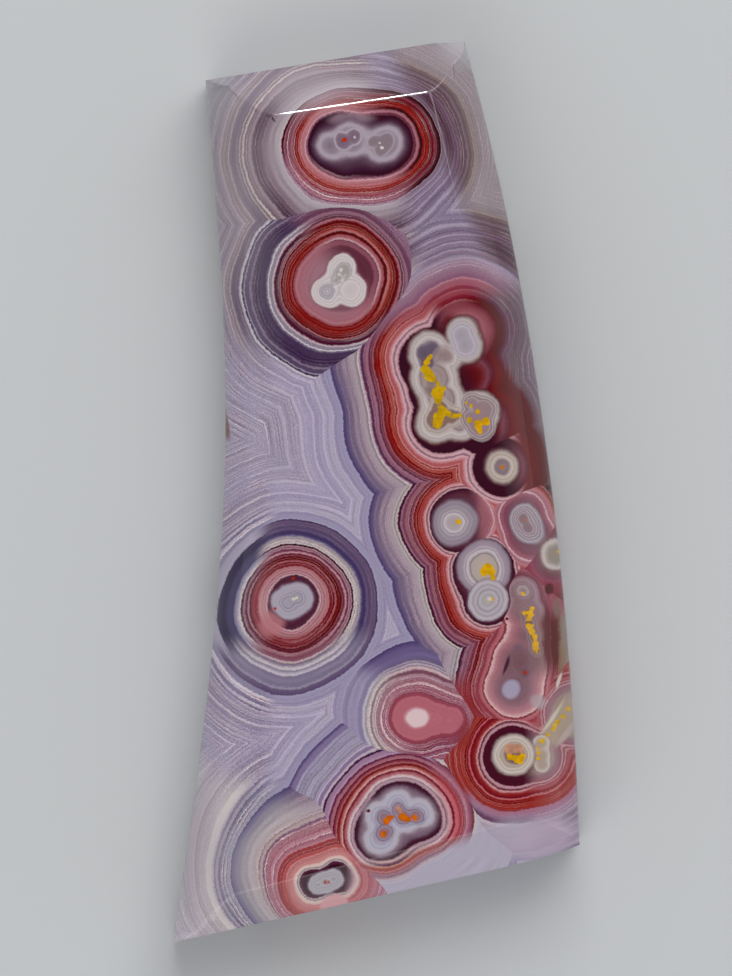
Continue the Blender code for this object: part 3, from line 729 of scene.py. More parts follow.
# %% Centres of the eyes
CENTRE_RAG = 0.6  # the centres' layers are smoother than the bands
CENTRE_WAVES = (0.45, 0.05)  # wavelength and full width of their waviness, mm
CENTRES = [  # circles, how far they melt together, bands of distance, colour and what shines through
    (  # top eye, then its two grey middles
        [(-2.05, 15.5, 0.62), (-1.05, 15.86, 0.78), (0.41, 15.57, 0.84)], 0.8,
        "-0.6 #84747F, -0.3 #94868F, -0.16 #AFA2AD, -0.06 #A698A2, 0.02 #85727E, 0.12 #6A5464 0.3,"
        "0.26 #543C4C 0.7, 0.36 #4A3040 1",
    ),
    (
        [(-1.44, 15.77, 0.36), (-0.9, 16.0, 0.31)], 0.3,
        "-0.4 #7C6474, -0.08 #826F7E, -0.02 #928490, 0.03 #B8ACB6, 0.08 #A698A2 0.5, 0.14 #A094A0 1",
    ),
    (
        [(0.45, 15.68, 0.36), (-0.05, 15.73, 0.23), (0.3, 15.32, 0.27)], 0.3,
        "-0.4 #88787F, -0.06 #8A7A81, 0 #988A94, 0.05 #B0A4AE 0.3, 0.12 #A498A4 1",
    ),
    (  # second eye
        [(-1.56, 10.08, 0.61), (-2.16, 9.05, 0.65), (-1.08, 9.07, 0.65)], 0.6,
        "-0.7 #C2B8B8, -0.35 #CABEC0, -0.26 #D4C8C8, -0.2 #BEB2B4, -0.14 #D4CACA, -0.08 #C0B4B6,"
        "-0.02 #D6CACA, 0.04 #C0B0B0, 0.09 #8A6470 0.4, 0.16 #7E5864 1",
    ),
    (
        [(-1.48, 9.92, 0.4), (-1.8, 9.56, 0.2)], 0.3,
        "-0.4 #A39C94, -0.1 #A39C98, -0.04 #B8B0B0, 0.02 #A8A0A0, 0.07 #BDB4B4 1",
    ),
    (
        [(-2.16, 9.07, 0.34)], 0.0,
        "-0.34 #D4CED4, -0.26 #A8A0A6, -0.18 #B8B0B4, -0.12 #A098A0, -0.06 #B4ACB2, 0 #A49CA2,"
        "0.05 #B8B0B4 1",
    ),
    (  # the cluster's body, its round knob and what lies in them
        [
            (3.92, 7.18, 0.72), (4.05, 6.64, 0.74), (3.24, 6.15, 0.65), (2.41, 6.32, 1.02),
            (2.6, 5.15, 1.14), (2.9, 4.21, 1.1), (2.75, 3.22, 1.06), (4.55, 3.58, 1.1), (3.69, 3.04, 0.8),
        ], 0.22,
        "-0.8 #9A8888, -0.6 #A0908E, -0.5 #8E7C7C, -0.44 #B0A2A0, -0.36 #BCB0AE, -0.28 #C8BEBC,"
        "-0.21 #B0A4A2, -0.15 #BDB2B0, -0.08 #A89A98, -0.02 #8A7674, 0.04 #6B4C4E 0.2, 0.1 #4E2C34 0.6,"
        "0.16 plum 1",
    ),
    (
        [(3.92, 7.13, 0.38), (4.05, 6.68, 0.4)], 0.3,
        "-0.4 #A2969E, -0.1 #AAA1AC, 0 #BDB3BA, 0.05 #A59AA4, 0.11 #BDB3B8, 0.17 #ACA2A8 0.3,"
        "0.24 #B8ACB0 1",
    ),
    (
        [(2.16, 6.32, 0.4), (2.52, 6.5, 0.36), (2.3, 5.87, 0.36)], 0.3,
        "-0.4 #655664, -0.1 #6E6070, 0 #857680 0.2, 0.08 #B0A4A4 1",
    ),
    (
        [(3.06, 6.23, 0.47)], 0.0,
        "-0.47 #927C7C, -0.2 #988484 0.2, 0 #A69494 0.6, 0.1 #B4A6A4 1",
    ),
    (
        [(2.43, 4.61, 0.3), (2.75, 4.5, 0.36), (2.52, 5.05, 0.28)], 0.2,
        "-0.36 #80686A, -0.12 #8A7674 0.2, 0 #9A8884 0.4, 0.08 #B4A6A2 0.6, 0.13 #9E8E8C 0.7,"
        "0.2 #B4A6A2 1",
    ),
    (
        [(2.7, 3.26, 0.5), (3.33, 3.4, 0.32), (3.69, 3.44, 0.2), (2.79, 3.76, 0.36)], 0.2,
        "-0.5 #9A7E60, -0.2 #8E7464, -0.05 #846C68, 0.02 #A8988E 0.3, 0.08 #C8BCB2 0.3, 0.13 #A4948E,"
        "0.19 #C0B2A8 0.4, 0.26 #B4A8A2 1",
    ),
    (
        [(4.32, 4.07, 0.36), (4.86, 3.71, 0.54), (4.68, 3.08, 0.58), (4.23, 3.35, 0.36)], 0.3,
        "-0.6 #9A8284, -0.15 #968086, -0.07 #A89A98, 0 #85727A, 0.06 #B8AAAA, 0.12 #8A767A 0.2,"
        "0.18 #BDB0B0 0.4, 0.25 #B4A8A8 1",
    ),
    (  # bead under it
        [(5.61, 1.24, 0.7)], 0.0,
        "-0.7 #B8762E, -0.62 #B8762E, -0.58 #8E7E84, -0.45 #857378, -0.36 #8E7C80, -0.31 #B4A69E,"
        "-0.22 #C4B8AE, -0.15 #A89890, -0.08 #BDB0A6, 0.02 #95827E, 0.1 #6E5258 0.4, 0.22 #4A2C34 1",
    ),
    (  # left bead
        [(3.56, -1.37, 0.97)], 0.0,
        "-0.97 #A89C9E, -0.66 #B0A4A8, -0.56 #C8BEC2, -0.5 #9E9098, -0.43 #B4A8AE, -0.37 #988C94,"
        "-0.25 #A0949C, -0.19 #908490, -0.08 #988A94, 0 #857480 0.2, 0.1 #5A4450 0.6, 0.2 plum 1",
    ),
    (  # the pair
        [(4.86, -3.4, 1.2)], 0.0,
        "-1.15 #B8AA9E, -0.62 #B0A29C, -0.56 #8A7A82, -0.5 #B4A8AA, -0.42 #C8BEC0, -0.36 #9E909A,"
        "-0.3 #B8ACB4, -0.24 #A0929C, -0.04 #958692, 0.04 #7A6674 0.4, 0.12 plum 1",
    ),
    (
        [(5.05, -4.78, 0.92)], 0.0,
        "-0.86 #B4A8A0, -0.62 #A8A0A2, -0.52 #B8B0B6, -0.42 #9A9098, -0.32 #B8AEB4, -0.22 #A2979E,"
        "-0.1 #BEB4BA, 0 #A89CA4, 0.06 #7E6A74 0.5, 0.12 #6A525C 1",
    ),
    (  # right bead
        [(6.7, -1.15, 0.67), (6.93, -1.64, 0.65)], 0.8,
        "-0.75 #80666C, -0.5 #8A7278, -0.44 #A8989E, -0.38 #8A7680, -0.32 #B0A2A8, -0.27 #8A7882,"
        "-0.21 #ACA0A6, -0.16 #8A7A84, -0.1 #B0A4AA, -0.03 #988A92, 0.04 #7E6872 0.4, 0.1 #6E4E5A 1",
    ),
    (  # bead on the edge
        [(8.06, -2.68, 0.72)], 0.0,
        "-0.72 #9A8A78, -0.4 #94867E, -0.28 #A0948C, -0.2 #B8ACA6, -0.12 #C8BCB8, -0.04 #B0A29E,"
        "0.03 #806468 0.4, 0.1 #6E4450 1",
    ),
    (  # the stalk's tip and the pale sheath round its golden thread
        [(6.64, -4.3, 0.25)], 0.0,
        "-0.25 #8A7074, 0 #A8989A, 0.06 #866A70, 0.11 #9E8C90 0.4, 0.18 #8A6C72 1",
    ),
    (
        [(6.8, -5.38, 0.16), (6.87, -5.9, 0.14), (7.1, -6.5, 0.15), (7.2, -7.1, 0.15)], 0.5,
        "-0.2 #7A5850, 0 #7A5850, 0.06 #A08C86 0.2, 0.11 #7A6062 0.3, 0.17 #9A8686 0.5, 0.26 #785860 1",
    ),
    (  # left eye
        [(-3.98, -5.05, 0.7), (-3.5, -4.8, 0.68)], 0.5,
        "-0.8 #A49CA8, -0.5 #A69EAA, -0.44 #928898, -0.38 #B0A8B2, -0.32 #9A909E, -0.26 #AEA6B2,"
        "-0.14 #A8A0AC, -0.06 #B0A8B2, 0.02 #9A8E9A, 0.08 #785E6E 0.4, 0.18 light_plum 1",
    ),
    (
        [(-3.72, -4.87, 0.06), (-3.54, -4.78, 0.05)], 0.2,
        "-0.1 #CCC8BE, 0 #CCC8BE, 0.04 #857D84 0.1, 0.09 #B8B0B8 0.3, 0.14 #8E8690 0.5, 0.2 #A49CA8 1",
    ),
    (  # pink eye
        [(1.89, -10.04, 0.47)], 0.0,
        "-0.47 #DCC2C4, -0.06 #DCC2C4, 0 #C8A0A6, 0.06 #C08890 0.2, 0.12 #B4707A 0.7, 0.2 #B4707A 1",
    ),
    (  # the tail's round middle and the lobe beside it
        [(7.38, -11.23, 0.38), (7.42, -11.81, 0.42), (7.47, -12.22, 0.36)], 0.3,
        "-0.42 #A89484, -0.2 #A8968C, -0.1 #B8AAA0, -0.03 #C4B8B0, 0.03 #9A888A 0.4, 0.1 #8A6670 1",
    ),
    (
        [(6.14, -11.74, 0.97)], 0.0,
        "-0.97 #8A6E68, -0.64 #7A5C60, -0.55 #8E7672, -0.45 #B8A89E, -0.37 #A8988E, -0.3 #CCC0B6,"
        "-0.22 #B4A69C, -0.16 #D0C4BC, -0.08 #BCAEA8, 0 #9A8884 0.1, 0.06 #6E545A 0.6, 0.12 #4A2C38 1",
    ),
    (  # lower eye, then its dull middle
        [
            (0.28, -15.5, 0.67), (0.22, -14.6, 0.6), (0.96, -14.13, 0.65), (1.95, -14.45, 0.6),
            (1.25, -14.67, 0.67),
        ], 0.3,
        "-0.67 #9A8890, -0.5 #AFA6AA, -0.42 #B8B2BC, -0.35 #A29CAE, -0.28 #B8B2C0, -0.2 #A8A2B2,"
        "-0.12 #B8B2C0, 0.02 #B4ACB4, 0.12 #94828E 0.2, 0.25 #7A6272 0.6, 0.36 #5E4254 1",
    ),
    (
        [
            (0.38, -15.32, 0.34), (0.35, -14.67, 0.3), (0.99, -14.32, 0.3), (1.25, -14.64, 0.36),
            (1.8, -14.6, 0.34),
        ], 0.2,
        "-0.38 #9A7E80, -0.15 #8E7480, -0.06 #A08C96, 0 #7E6C80, 0.05 #A096A8 0.4, 0.1 #8E8498 0.4,"
        "0.16 #B0A8B8 1",
    ),
    (  # corner eye
        [(-2.7, -17.66, 0.4), (-2.34, -17.53, 0.46), (-1.94, -17.39, 0.42)], 0.4,
        "-0.5 #A49CA4, -0.34 #A29AA2, -0.28 #B8B0B6, -0.22 #A39BA4, -0.16 #B4ACB2, -0.1 #A8A0A8,"
        "-0.02 #B8B0B8, 0.04 #9A8E9A, 0.09 #6E5A66 0.4, 0.16 #4A3644 1",
    ),
]
print("centres:", len(CENTRES))

# %% [markdown]
# The layers need two measures. One is the distance to an eye's skin: its circles melt together with a
# smooth minimum, as droplets merge, where a plain minimum would leave a crease. The other says how far a
# place lies towards one side of the stone, for what changes slowly across it.

# %% Measures across the stone
def distance_to(circles, blend):
    """Distance to the edge of several circles melted together, in mm, less than zero inside."""
    nearest = None
    for x, y, radius in circles:
        away = add_node("ShaderNodeVectorMath", {"operation": "DISTANCE"}, {0: place, 1: (x, y, 0)}, out=1)
        edge = add_node("ShaderNodeMath", SUBTRACT, {0: away, 1: radius})
        if nearest is None:
            nearest = edge
        else:
            melted = {0: nearest, 1: edge, 2: blend}
            nearest = add_node("ShaderNodeMath", {"operation": "SMOOTH_MIN"}, melted)
    return nearest


def share_towards(direction, begin, end):
    """Grows from 0 to 1 along a direction across the stone, between two places on it in mm."""
    along = add_node("ShaderNodeVectorMath", DOT_PRODUCT, {0: place, 1: (*direction, 0)}, out=1)
    return add_node("ShaderNodeMapRange", SMOOTH, {0: along, 1: begin, 2: end, 3: 0.0, 4: 1.0})


print("drops melted into skins:", sum(len(eye["skin"]) for eye in EYES.values()))

# %% [markdown]
# Each list of bands becomes a node group that looks a distance up in a colour ramp. A ramp holds 32 stops
# at most, so a longer list goes on in a second ramp. The ramp's alpha carries the strength of fine lines,
# so one ramp answers both questions, and eyes with the same bands share one group.

# %% Bands
MOST_STOPS = 32


def mix_layers(share, below, above, home=tree):
    """Mixes two layers, each a colour and a strength of fine lines."""
    colours = {0: share, 6: below[0], 7: above[0]}
    lines = {0: share, 2: below[1], 3: above[1]}
    colour = add_node("ShaderNodeMix", COLOURS_MIX, colours, out=2, home=home)
    return colour, add_node("ShaderNodeMix", NUMBERS_MIX, lines, home=home)


def read_bands(bands):
    """Reads 'distance colour strength' entries; the strength of fine lines may be left out."""
    entries = [entry.split() for entry in SHARED_BANDS.get(bands, bands).split(",")]
    return [(float(e[0]), linear(e[1])[:3], float(e[2]) if len(e) > 2 else 0.0) for e in entries]


def make_band_group(bands, name):
    """A node group that turns a distance to the colour and the strength of fine lines there."""
    group = bpy.data.node_groups.new("layers_of_" + name, "ShaderNodeTree")
    group.interface.new_socket("Distance", in_out="INPUT", socket_type="NodeSocketFloat")
    group.interface.new_socket("Colour", in_out="OUTPUT", socket_type="NodeSocketColor")
    group.interface.new_socket("Lines", in_out="OUTPUT", socket_type="NodeSocketFloat")
    distance = add_node("NodeGroupInput", {}, {}, home=group)
    layers = None
    stops_wanted = read_bands(bands)
    for at in range(0, len(stops_wanted) - 1, MOST_STOPS - 1):
        piece = stops_wanted[at:at + MOST_STOPS]
        first = piece[0][0]
        last = piece[-1][0]
        spread = {0: distance, 1: first, 2: last, 3: 0.0, 4: 1.0}
        share = add_node("ShaderNodeMapRange", OPEN, spread, home=group)
        ramp = add_node("ShaderNodeValToRGB", {}, {0: share}, home=group)
        stops = ramp.node.color_ramp.elements
        stops.remove(stops[1])
        stops[0].position = 0.0
        for number, (where, shade, strength) in enumerate(piece):
            stop = stops.new((where - first) / (last - first)) if number else stops[0]
            stop.color = (*shade, strength)
        if layers is None:
            layers = (ramp, ramp.node.outputs[1])
        else:
            beyond = add_node("ShaderNodeMath", GREATER_THAN, {0: distance, 1: first}, home=group)
            layers = mix_layers(beyond, layers, (ramp, ramp.node.outputs[1]), home=group)
    add_node("NodeGroupOutput", {}, {0: layers[0], 1: layers[1]}, home=group)
    return group


band_groups = {}


def band_colours(distance, bands, name):
    """The colour and the strength of fine lines at a distance."""
    if bands not in band_groups:
        band_groups[bands] = make_band_group(bands, name)
    colour = add_node("ShaderNodeGroup", {"node_tree": band_groups[bands]}, {0: distance})
    return colour, colour.node.outputs[1]


def turn_layers(layers, distance, turns):
    """Lets other bands take over along directions across the stone."""
    for along_x, along_y, begin, end, bands in turns:
        share = share_towards((along_x, along_y), begin, end)
        layers = mix_layers(share, layers, band_colours(distance, bands, bands))
    return layers


print("stops in the longest list:", max(len(read_bands(bands)) for bands in SHARED_BANDS))

# %% [markdown]
# Now the eyes grow. The age of a layer is its distance from the eye, changed by the eye's start and jumps.
# Layers of two eyes meet in a sharp seam, because each point belongs to the eye whose layers reached it
# first. Mixing the eyes would blur the seam, so they are taken in turn, and each one paints only where its
# age is the least so far. Outside an eye's reach the layers belong to all eyes together: they follow the
# least age, with colours that turn from one region of the stone to the next.

# %% Growth from each eye
FAR = 100.0  # an age that every layer beats, mm
REGIONS = (  # a direction across the stone, where it begins and ends along it in mm, bands
    (-1.0, 0.0, 4.3, 5.3, "outer_left"), (0.0, 1.0, 5.0, 8.0, "outer_upper"),
    (-0.5, -1.0, 15.0, 17.0, "outer_corner"), (1.0, 0.25, 3.6, 5.2, "outer_right"),
    (1.0, 0.45, 9.0, 10.4, "outer_plum"),
)

nearest_age = FAR
layers = (linear("lavender"), 0.0)
own = 0.0
for eye_name, eye in EYES.items():
    distance = distance_to(eye["skin"], eye.get("skin_blend", 0.0))
    if "lean" in eye:
        about = (*eye["lean_about"], 0)
        slope = (*eye["lean"], 0)
        begin, end = eye["lean_span"]
        away = add_node("ShaderNodeVectorMath", SUBTRACT, {0: place, 1: about})
        along = add_node("ShaderNodeVectorMath", DOT_PRODUCT, {0: away, 1: slope}, out=1)
        begun = add_node("ShaderNodeMapRange", SMOOTH, {0: distance, 1: begin, 2: end, 3: 0.0, 4: -1.0})
        distance = add_node("ShaderNodeMath", MULTIPLY_ADD, {0: along, 1: begun, 2: distance})
    ragged = add_node("ShaderNodeMath", ADD, {0: distance, 1: rag})
    age = add_node("ShaderNodeMath", ADD, {0: ragged, 1: eye["start"]})
    for begin, end, extra in eye.get("jumps", []):
        added = add_node("ShaderNodeMapRange", SMOOTH, {0: ragged, 1: begin, 2: end, 3: 0.0, 4: extra})
        age = add_node("ShaderNodeMath", ADD, {0: age, 1: added})
    own_layers = turn_layers(band_colours(ragged, eye["bands"], eye_name), ragged, eye.get("turns", []))
    first_here = add_node("ShaderNodeMath", LESS_THAN, {0: age, 1: nearest_age})
    within = add_node("ShaderNodeMath", LESS_THAN, {0: ragged, 1: eye["reach"]})
    nearest_age = add_node("ShaderNodeMath", {"operation": "MINIMUM"}, {0: age, 1: nearest_age})
    layers = mix_layers(first_here, layers, own_layers)
    own = add_node("ShaderNodeMix", NUMBERS_MIX, {0: first_here, 2: own, 3: within})
common = turn_layers(band_colours(nearest_age, "outer_middle", "outer_middle"), nearest_age, REGIONS)
colour, line = mix_layers(own, common, layers)
print("nodes with growth:", len(tree.nodes))

# %% [markdown]
# Within a band the stone shows dozens of hairlines, a twentieth of a millimetre apart. They follow the
# layers, so they come from a noise that runs along the age alone. A second noise fades them in and out
# round the eye. A noise keeps near its middle, 0.5, so each Map Range spreads only that part of it over
# the whole swing.

# %% Hairlines
LINE_PERIOD = 0.055  # mm between hairlines
LINE_OFFSET = 11.0  # so that the hairlines read another stretch of the noise than the shades do
LINE_LIGHTER = 0.5
LINE_DARKER = -0.6
DARK_TINT = (0.5, 0.38, 0.45, 1.0)
PATCH_SIZE = 1.1  # mm over which hairlines fade
PATCH_LEAST = 0.2
GRAIN_SIZE = 0.06  # mm, for the grain further on

along_age = add_node("ShaderNodeMath", MULTIPLY_ADD, {0: nearest_age, 1: 1.0, 2: LINE_OFFSET})
fine = add_node("ShaderNodeTexNoise", ALONG_A_LINE, {1: along_age, 2: 1 / LINE_PERIOD, 3: 1.0, 4: 0.6})
patch = add_node("ShaderNodeTexNoise", IN_SPACE, {0: in_mm, 2: 1 / PATCH_SIZE, 3: 0.0})
grain = add_node("ShaderNodeTexNoise", IN_SPACE, {0: in_mm, 2: 1 / GRAIN_SIZE, 3: 0.0})
swing = add_node("ShaderNodeMapRange", OPEN, {0: fine, 1: 0.35, 2: 0.65, 3: -1.0, 4: 1.0})
fade = add_node("ShaderNodeMapRange", OPEN, {0: patch, 1: 0.25, 2: 0.75, 3: PATCH_LEAST, 4: 1.0})
strength = add_node("ShaderNodeMath", MULTIPLY, {0: line, 1: fade})
amount = add_node("ShaderNodeMath", MULTIPLY, {0: strength, 1: swing})
lighter = add_node("ShaderNodeMath", MULTIPLY, {0: amount, 1: LINE_LIGHTER})
darker = add_node("ShaderNodeMath", MULTIPLY, {0: amount, 1: LINE_DARKER})
colour = add_node("ShaderNodeMix", COLOURS_MIX, {0: lighter, 6: colour, 7: linear("line_pink")}, out=2)
darkening = {"data_type": "RGBA", "blend_type": "MULTIPLY"}
colour = add_node("ShaderNodeMix", darkening, {0: darker, 6: colour, 7: DARK_TINT}, out=2)
print("nodes with hairlines:", len(tree.nodes))

# %% [markdown]
# Broader shades follow the layers too. Many layers also start bright, some with a white line, and darken
# outwards, a fifth of a millimetre each: the fraction of the age, counted in steps, gives that saw tooth,
# and a slow noise makes the steps uneven. Last, a fine grain breaks all of them up into the granular look
# of chalcedony fibres. Shades, steps and grain only change the brightness, so they add up to one gain, and
# one Hue Saturation node lays it on.

# %% Shades, steps and grain
SHADE_PERIOD = 0.16  # mm between broader shades
SHADE_SWING = 0.1
STEP_PERIOD = 0.21  # mm between the steps
STEP_DRIFT = 0.8  # mm over which they grow wider and narrower
STEP_UNEVENNESS = 3.0
STEP_FIRST = 0.4  # how much brighter a step starts
STEP_LAST = -0.42
CREST_SHARE = 0.2  # the part of a step that is a white line
CREST_WHITE = 0.9
GRAIN_IN_LINES = 0.18
GRAIN_EVERYWHERE = 0.03

shade = add_node("ShaderNodeTexNoise", ALONG_A_LINE, {1: nearest_age, 2: 1 / SHADE_PERIOD, 3: 1.0})
shade = add_node("ShaderNodeMapRange", OPEN, {0: shade, 1: 0.3, 2: 0.7, 3: -SHADE_SWING, 4: SHADE_SWING})
gain = add_node("ShaderNodeMath", MULTIPLY_ADD, {0: shade, 1: fade, 2: 1.0})
drift = add_node("ShaderNodeTexNoise", ALONG_A_LINE, {1: nearest_age, 2: 1 / STEP_DRIFT, 3: 1.0})
drift = add_node("ShaderNodeMath", MULTIPLY, {0: drift, 1: STEP_UNEVENNESS})
steps = add_node("ShaderNodeMath", MULTIPLY_ADD, {0: nearest_age, 1: 1 / STEP_PERIOD, 2: drift})
step = add_node("ShaderNodeMath", {"operation": "FRACT"}, {0: steps})
step_shift = add_node("ShaderNodeMapRange", OPEN, {0: step, 1: 0.0, 2: 1.0, 3: STEP_FIRST, 4: STEP_LAST})
gain = add_node("ShaderNodeMath", MULTIPLY_ADD, {0: step_shift, 1: strength, 2: gain})
crest = add_node("ShaderNodeMapRange", OPEN, {0: step, 1: 0.0, 2: CREST_SHARE, 3: CREST_WHITE, 4: 0.0})
crest = add_node("ShaderNodeMath", MULTIPLY, {0: crest, 1: strength})
colour = add_node("ShaderNodeMix", COLOURS_MIX, {0: crest, 6: colour, 7: linear("white")}, out=2)
grain_shift = add_node("ShaderNodeMapRange", OPEN, {0: grain, 1: 0.3, 2: 0.7, 3: -1.0, 4: 1.0})
grainy = add_node("ShaderNodeMath", MULTIPLY_ADD, {0: line, 1: GRAIN_IN_LINES, 2: GRAIN_EVERYWHERE})
gain = add_node("ShaderNodeMath", MULTIPLY_ADD, {0: grain_shift, 1: grainy, 2: gain})
colour = add_node("ShaderNodeHueSaturation", {}, {2: gain, 4: colour})
print("nodes with fine lines:", len(tree.nodes))

# %% [markdown]
# Over the layers lie soft stains, where iron or clear chalcedony clouds the colour. A few of the ellipses
# are painted light instead: pale veils of painted reflection on the top bevel, three corners and the left
# shoulder, where a polished slope mirrors the bright room, and a white fleck of painted glint in the sliver
# hollow. Each is an ellipse with a soft edge: a Mapping node of the Texture type moves, turns and scales it
# to a unit circle, and the distance from its middle becomes the mix. Most lie under the centres of the eyes,
# and a few over all.

# %% Stains and painted reflections
STAINS_AND_SHEEN_UNDER = [  # place x, y, half widths, turn in degrees, colour, softness, strength
    (-1.08, 16.72, 1.3, 0.4, 3, "#A48C95", 0.7, 0.9),
    (-1.62, 8.44, 1.1, 0.36, 0, "#6E4854", 0.6, 0.7),
    (8.28, -10.33, 0.75, 1.6, -37, "#A89686", 0.4, 0.95),
    (7.88, -10.1, 0.13, 1.3, -37, "#C8BCB0", 0.7, 0.9),
    (8.5, -10.85, 0.2, 1.0, -37, "#B8A8A4", 0.7, 0.8),
    (8.2, -9.45, 0.12, 0.9, -37, "#9A8270", 0.8, 0.7),
    (6.37, -7.0, 0.3, 0.2, 0, "#75606E", 0.8, 0.8),
    (5.83, -7.76, 0.11, 0.6, -19, "#40283A", 0.6, 0.9),
    (6.11, -8.81, 0.5, 0.53, 0, "#A89FB4", 0.4, 0.95),
    (7.29, -9.34, 0.45, 0.45, 0, "#AC9CA2", 0.6, 0.8),
    (6.66, -8.08, 0.3, 0.3, 0, "#705560", 0.8, 0.85),
    (7.38, -1.95, 0.36, 0.6, 30, "#8E7E78", 0.8, 0.8),
    (5.58, -15.64, 2.7, 1.17, 14, "pale_lavender", 0.6, 0.8),
    (7.6, -15.55, 2.25, 1.17, 14, "#BBA9BB", 0.6, 0.8),
    (3.33, -17.44, 2.7, 0.9, 14, "pale_lavender", 0.7, 0.8),
    (4.68, -1.24, 0.4, 1.17, 0, "pink", 1, 0.5),
    (-4.7, -5.95, 0.7, 0.9, -35, "pink", 0.6, 0.8),
    # The last five are pale veils of painted reflection: the top bevel, the top left and top right corners,
    # the left shoulder and the bottom left corner.
    (-3.0, 18.3, 4.6, 1.9, 9, "#C2B6BC", 0.9, 0.5),
    (-7.6, 18.2, 2.3, 3.2, 0, "#A9A6A9", 1, 0.75),
    (3.9, 20.2, 1.6, 1.5, 0, "#B5B2B6", 1, 0.9),
    (-6.48, 13.61, 2.7, 5.85, 0, "#A89B9E", 1, 0.45),
    (-7.47, -16.54, 2.7, 4.05, 0, "#A9A0A8", 1, 0.35),
]
STAINS_AND_GLINT_OVER = [  # the same, for what lies over the centres and grains
    (-6.79, 3.22, 0.22, 1.08, 4, "amber", 0.5, 0.9),
    (-1.93, -18.61, 0.77, 0.58, 12, "#D3A2A6", 0.25, 0.9),
    (7.83, -4.25, 0.27, 0.32, 0, "#4A1418", 0.4, 0.9),
    (8.14, -5.11, 0.24, 0.54, 0, "#7A6A62", 0.6, 0.7),
    (7.75, -6.2, 0.2, 1.9, 5, "#5A2422", 0.8, 0.8),
    (8.4, -7.54, 0.2, 1.3, -4, "#8A6E58", 0.6, 0.6),
    # A white fleck of painted glint, where the crystals in the sliver hollow catch the light.
    (8.28, -8.45, 0.12, 0.5, -20, "#D8D0CA", 0.6, 0.8),
    (3.95, -10.9, 0.5, 1.0, -10, "#8E4442", 0.9, 0.7),
]


def lay_stains_and_sheen(colour, stains_and_sheen):
    """Lays soft ellipses over a colour: stains, painted reflections and painted glint."""
    for x, y, half_x, half_y, turn, ellipse_colour, softness, strength in stains_and_sheen:
        ellipse = {0: place, 1: (x, y, 0), 2: (0, 0, math.radians(turn)), 3: (half_x, half_y, 1)}
        inside = add_node("ShaderNodeMapping", {"vector_type": "TEXTURE"}, ellipse)
        away = add_node("ShaderNodeVectorMath", {"operation": "LENGTH"}, {0: inside}, out=1)
        fading = {0: away, 1: 1.0, 2: 1.0 - softness, 3: 0.0, 4: strength}
        share = add_node("ShaderNodeMapRange", SMOOTH, fading)
        colour = add_node("ShaderNodeMix", COLOURS_MIX, {0: share, 6: colour, 7: linear(ellipse_colour)}, out=2)
    return colour


colour = lay_stains_and_sheen(colour, STAINS_AND_SHEEN_UNDER)
print("nodes with stains:", len(tree.nodes))

# %% [markdown]
# The centres are laid over the bands, where their own distance is small enough. The last number of their
# bands is not for lines here: it says how much of the layers underneath shines through.

# %% Centres over the bands
wavelength, width = CENTRE_WAVES
noise = add_node("ShaderNodeTexNoise", IN_SPACE, {0: in_mm, 2: 1 / wavelength, 3: 1.0})
centred = add_node("ShaderNodeMath", SUBTRACT, {0: noise, 1: MIDDLE_OF_NOISE})
calm_rag = add_node("ShaderNodeMath", MULTIPLY, {0: rag, 1: CENTRE_RAG})
calm_rag = add_node("ShaderNodeMath", MULTIPLY_ADD, {0: centred, 1: width * 2, 2: calm_rag})
for circles, blend, bands in CENTRES:
    distance = distance_to(circles, blend)
    distance = add_node("ShaderNodeMath", ADD, {0: distance, 1: calm_rag})
    centre_colour, see_through = band_colours(distance, bands, "centre")
    solid = add_node("ShaderNodeMath", SUBTRACT, {0: 1.0, 1: see_through})
    inside = add_node("ShaderNodeMath", LESS_THAN, {0: distance, 1: read_bands(bands)[-1][0]})
    covered = add_node("ShaderNodeMath", MULTIPLY, {0: solid, 1: inside})
    colour = add_node("ShaderNodeMix", COLOURS_MIX, {0: covered, 6: colour, 7: centre_colour}, out=2)
print("nodes with centres:", len(tree.nodes))
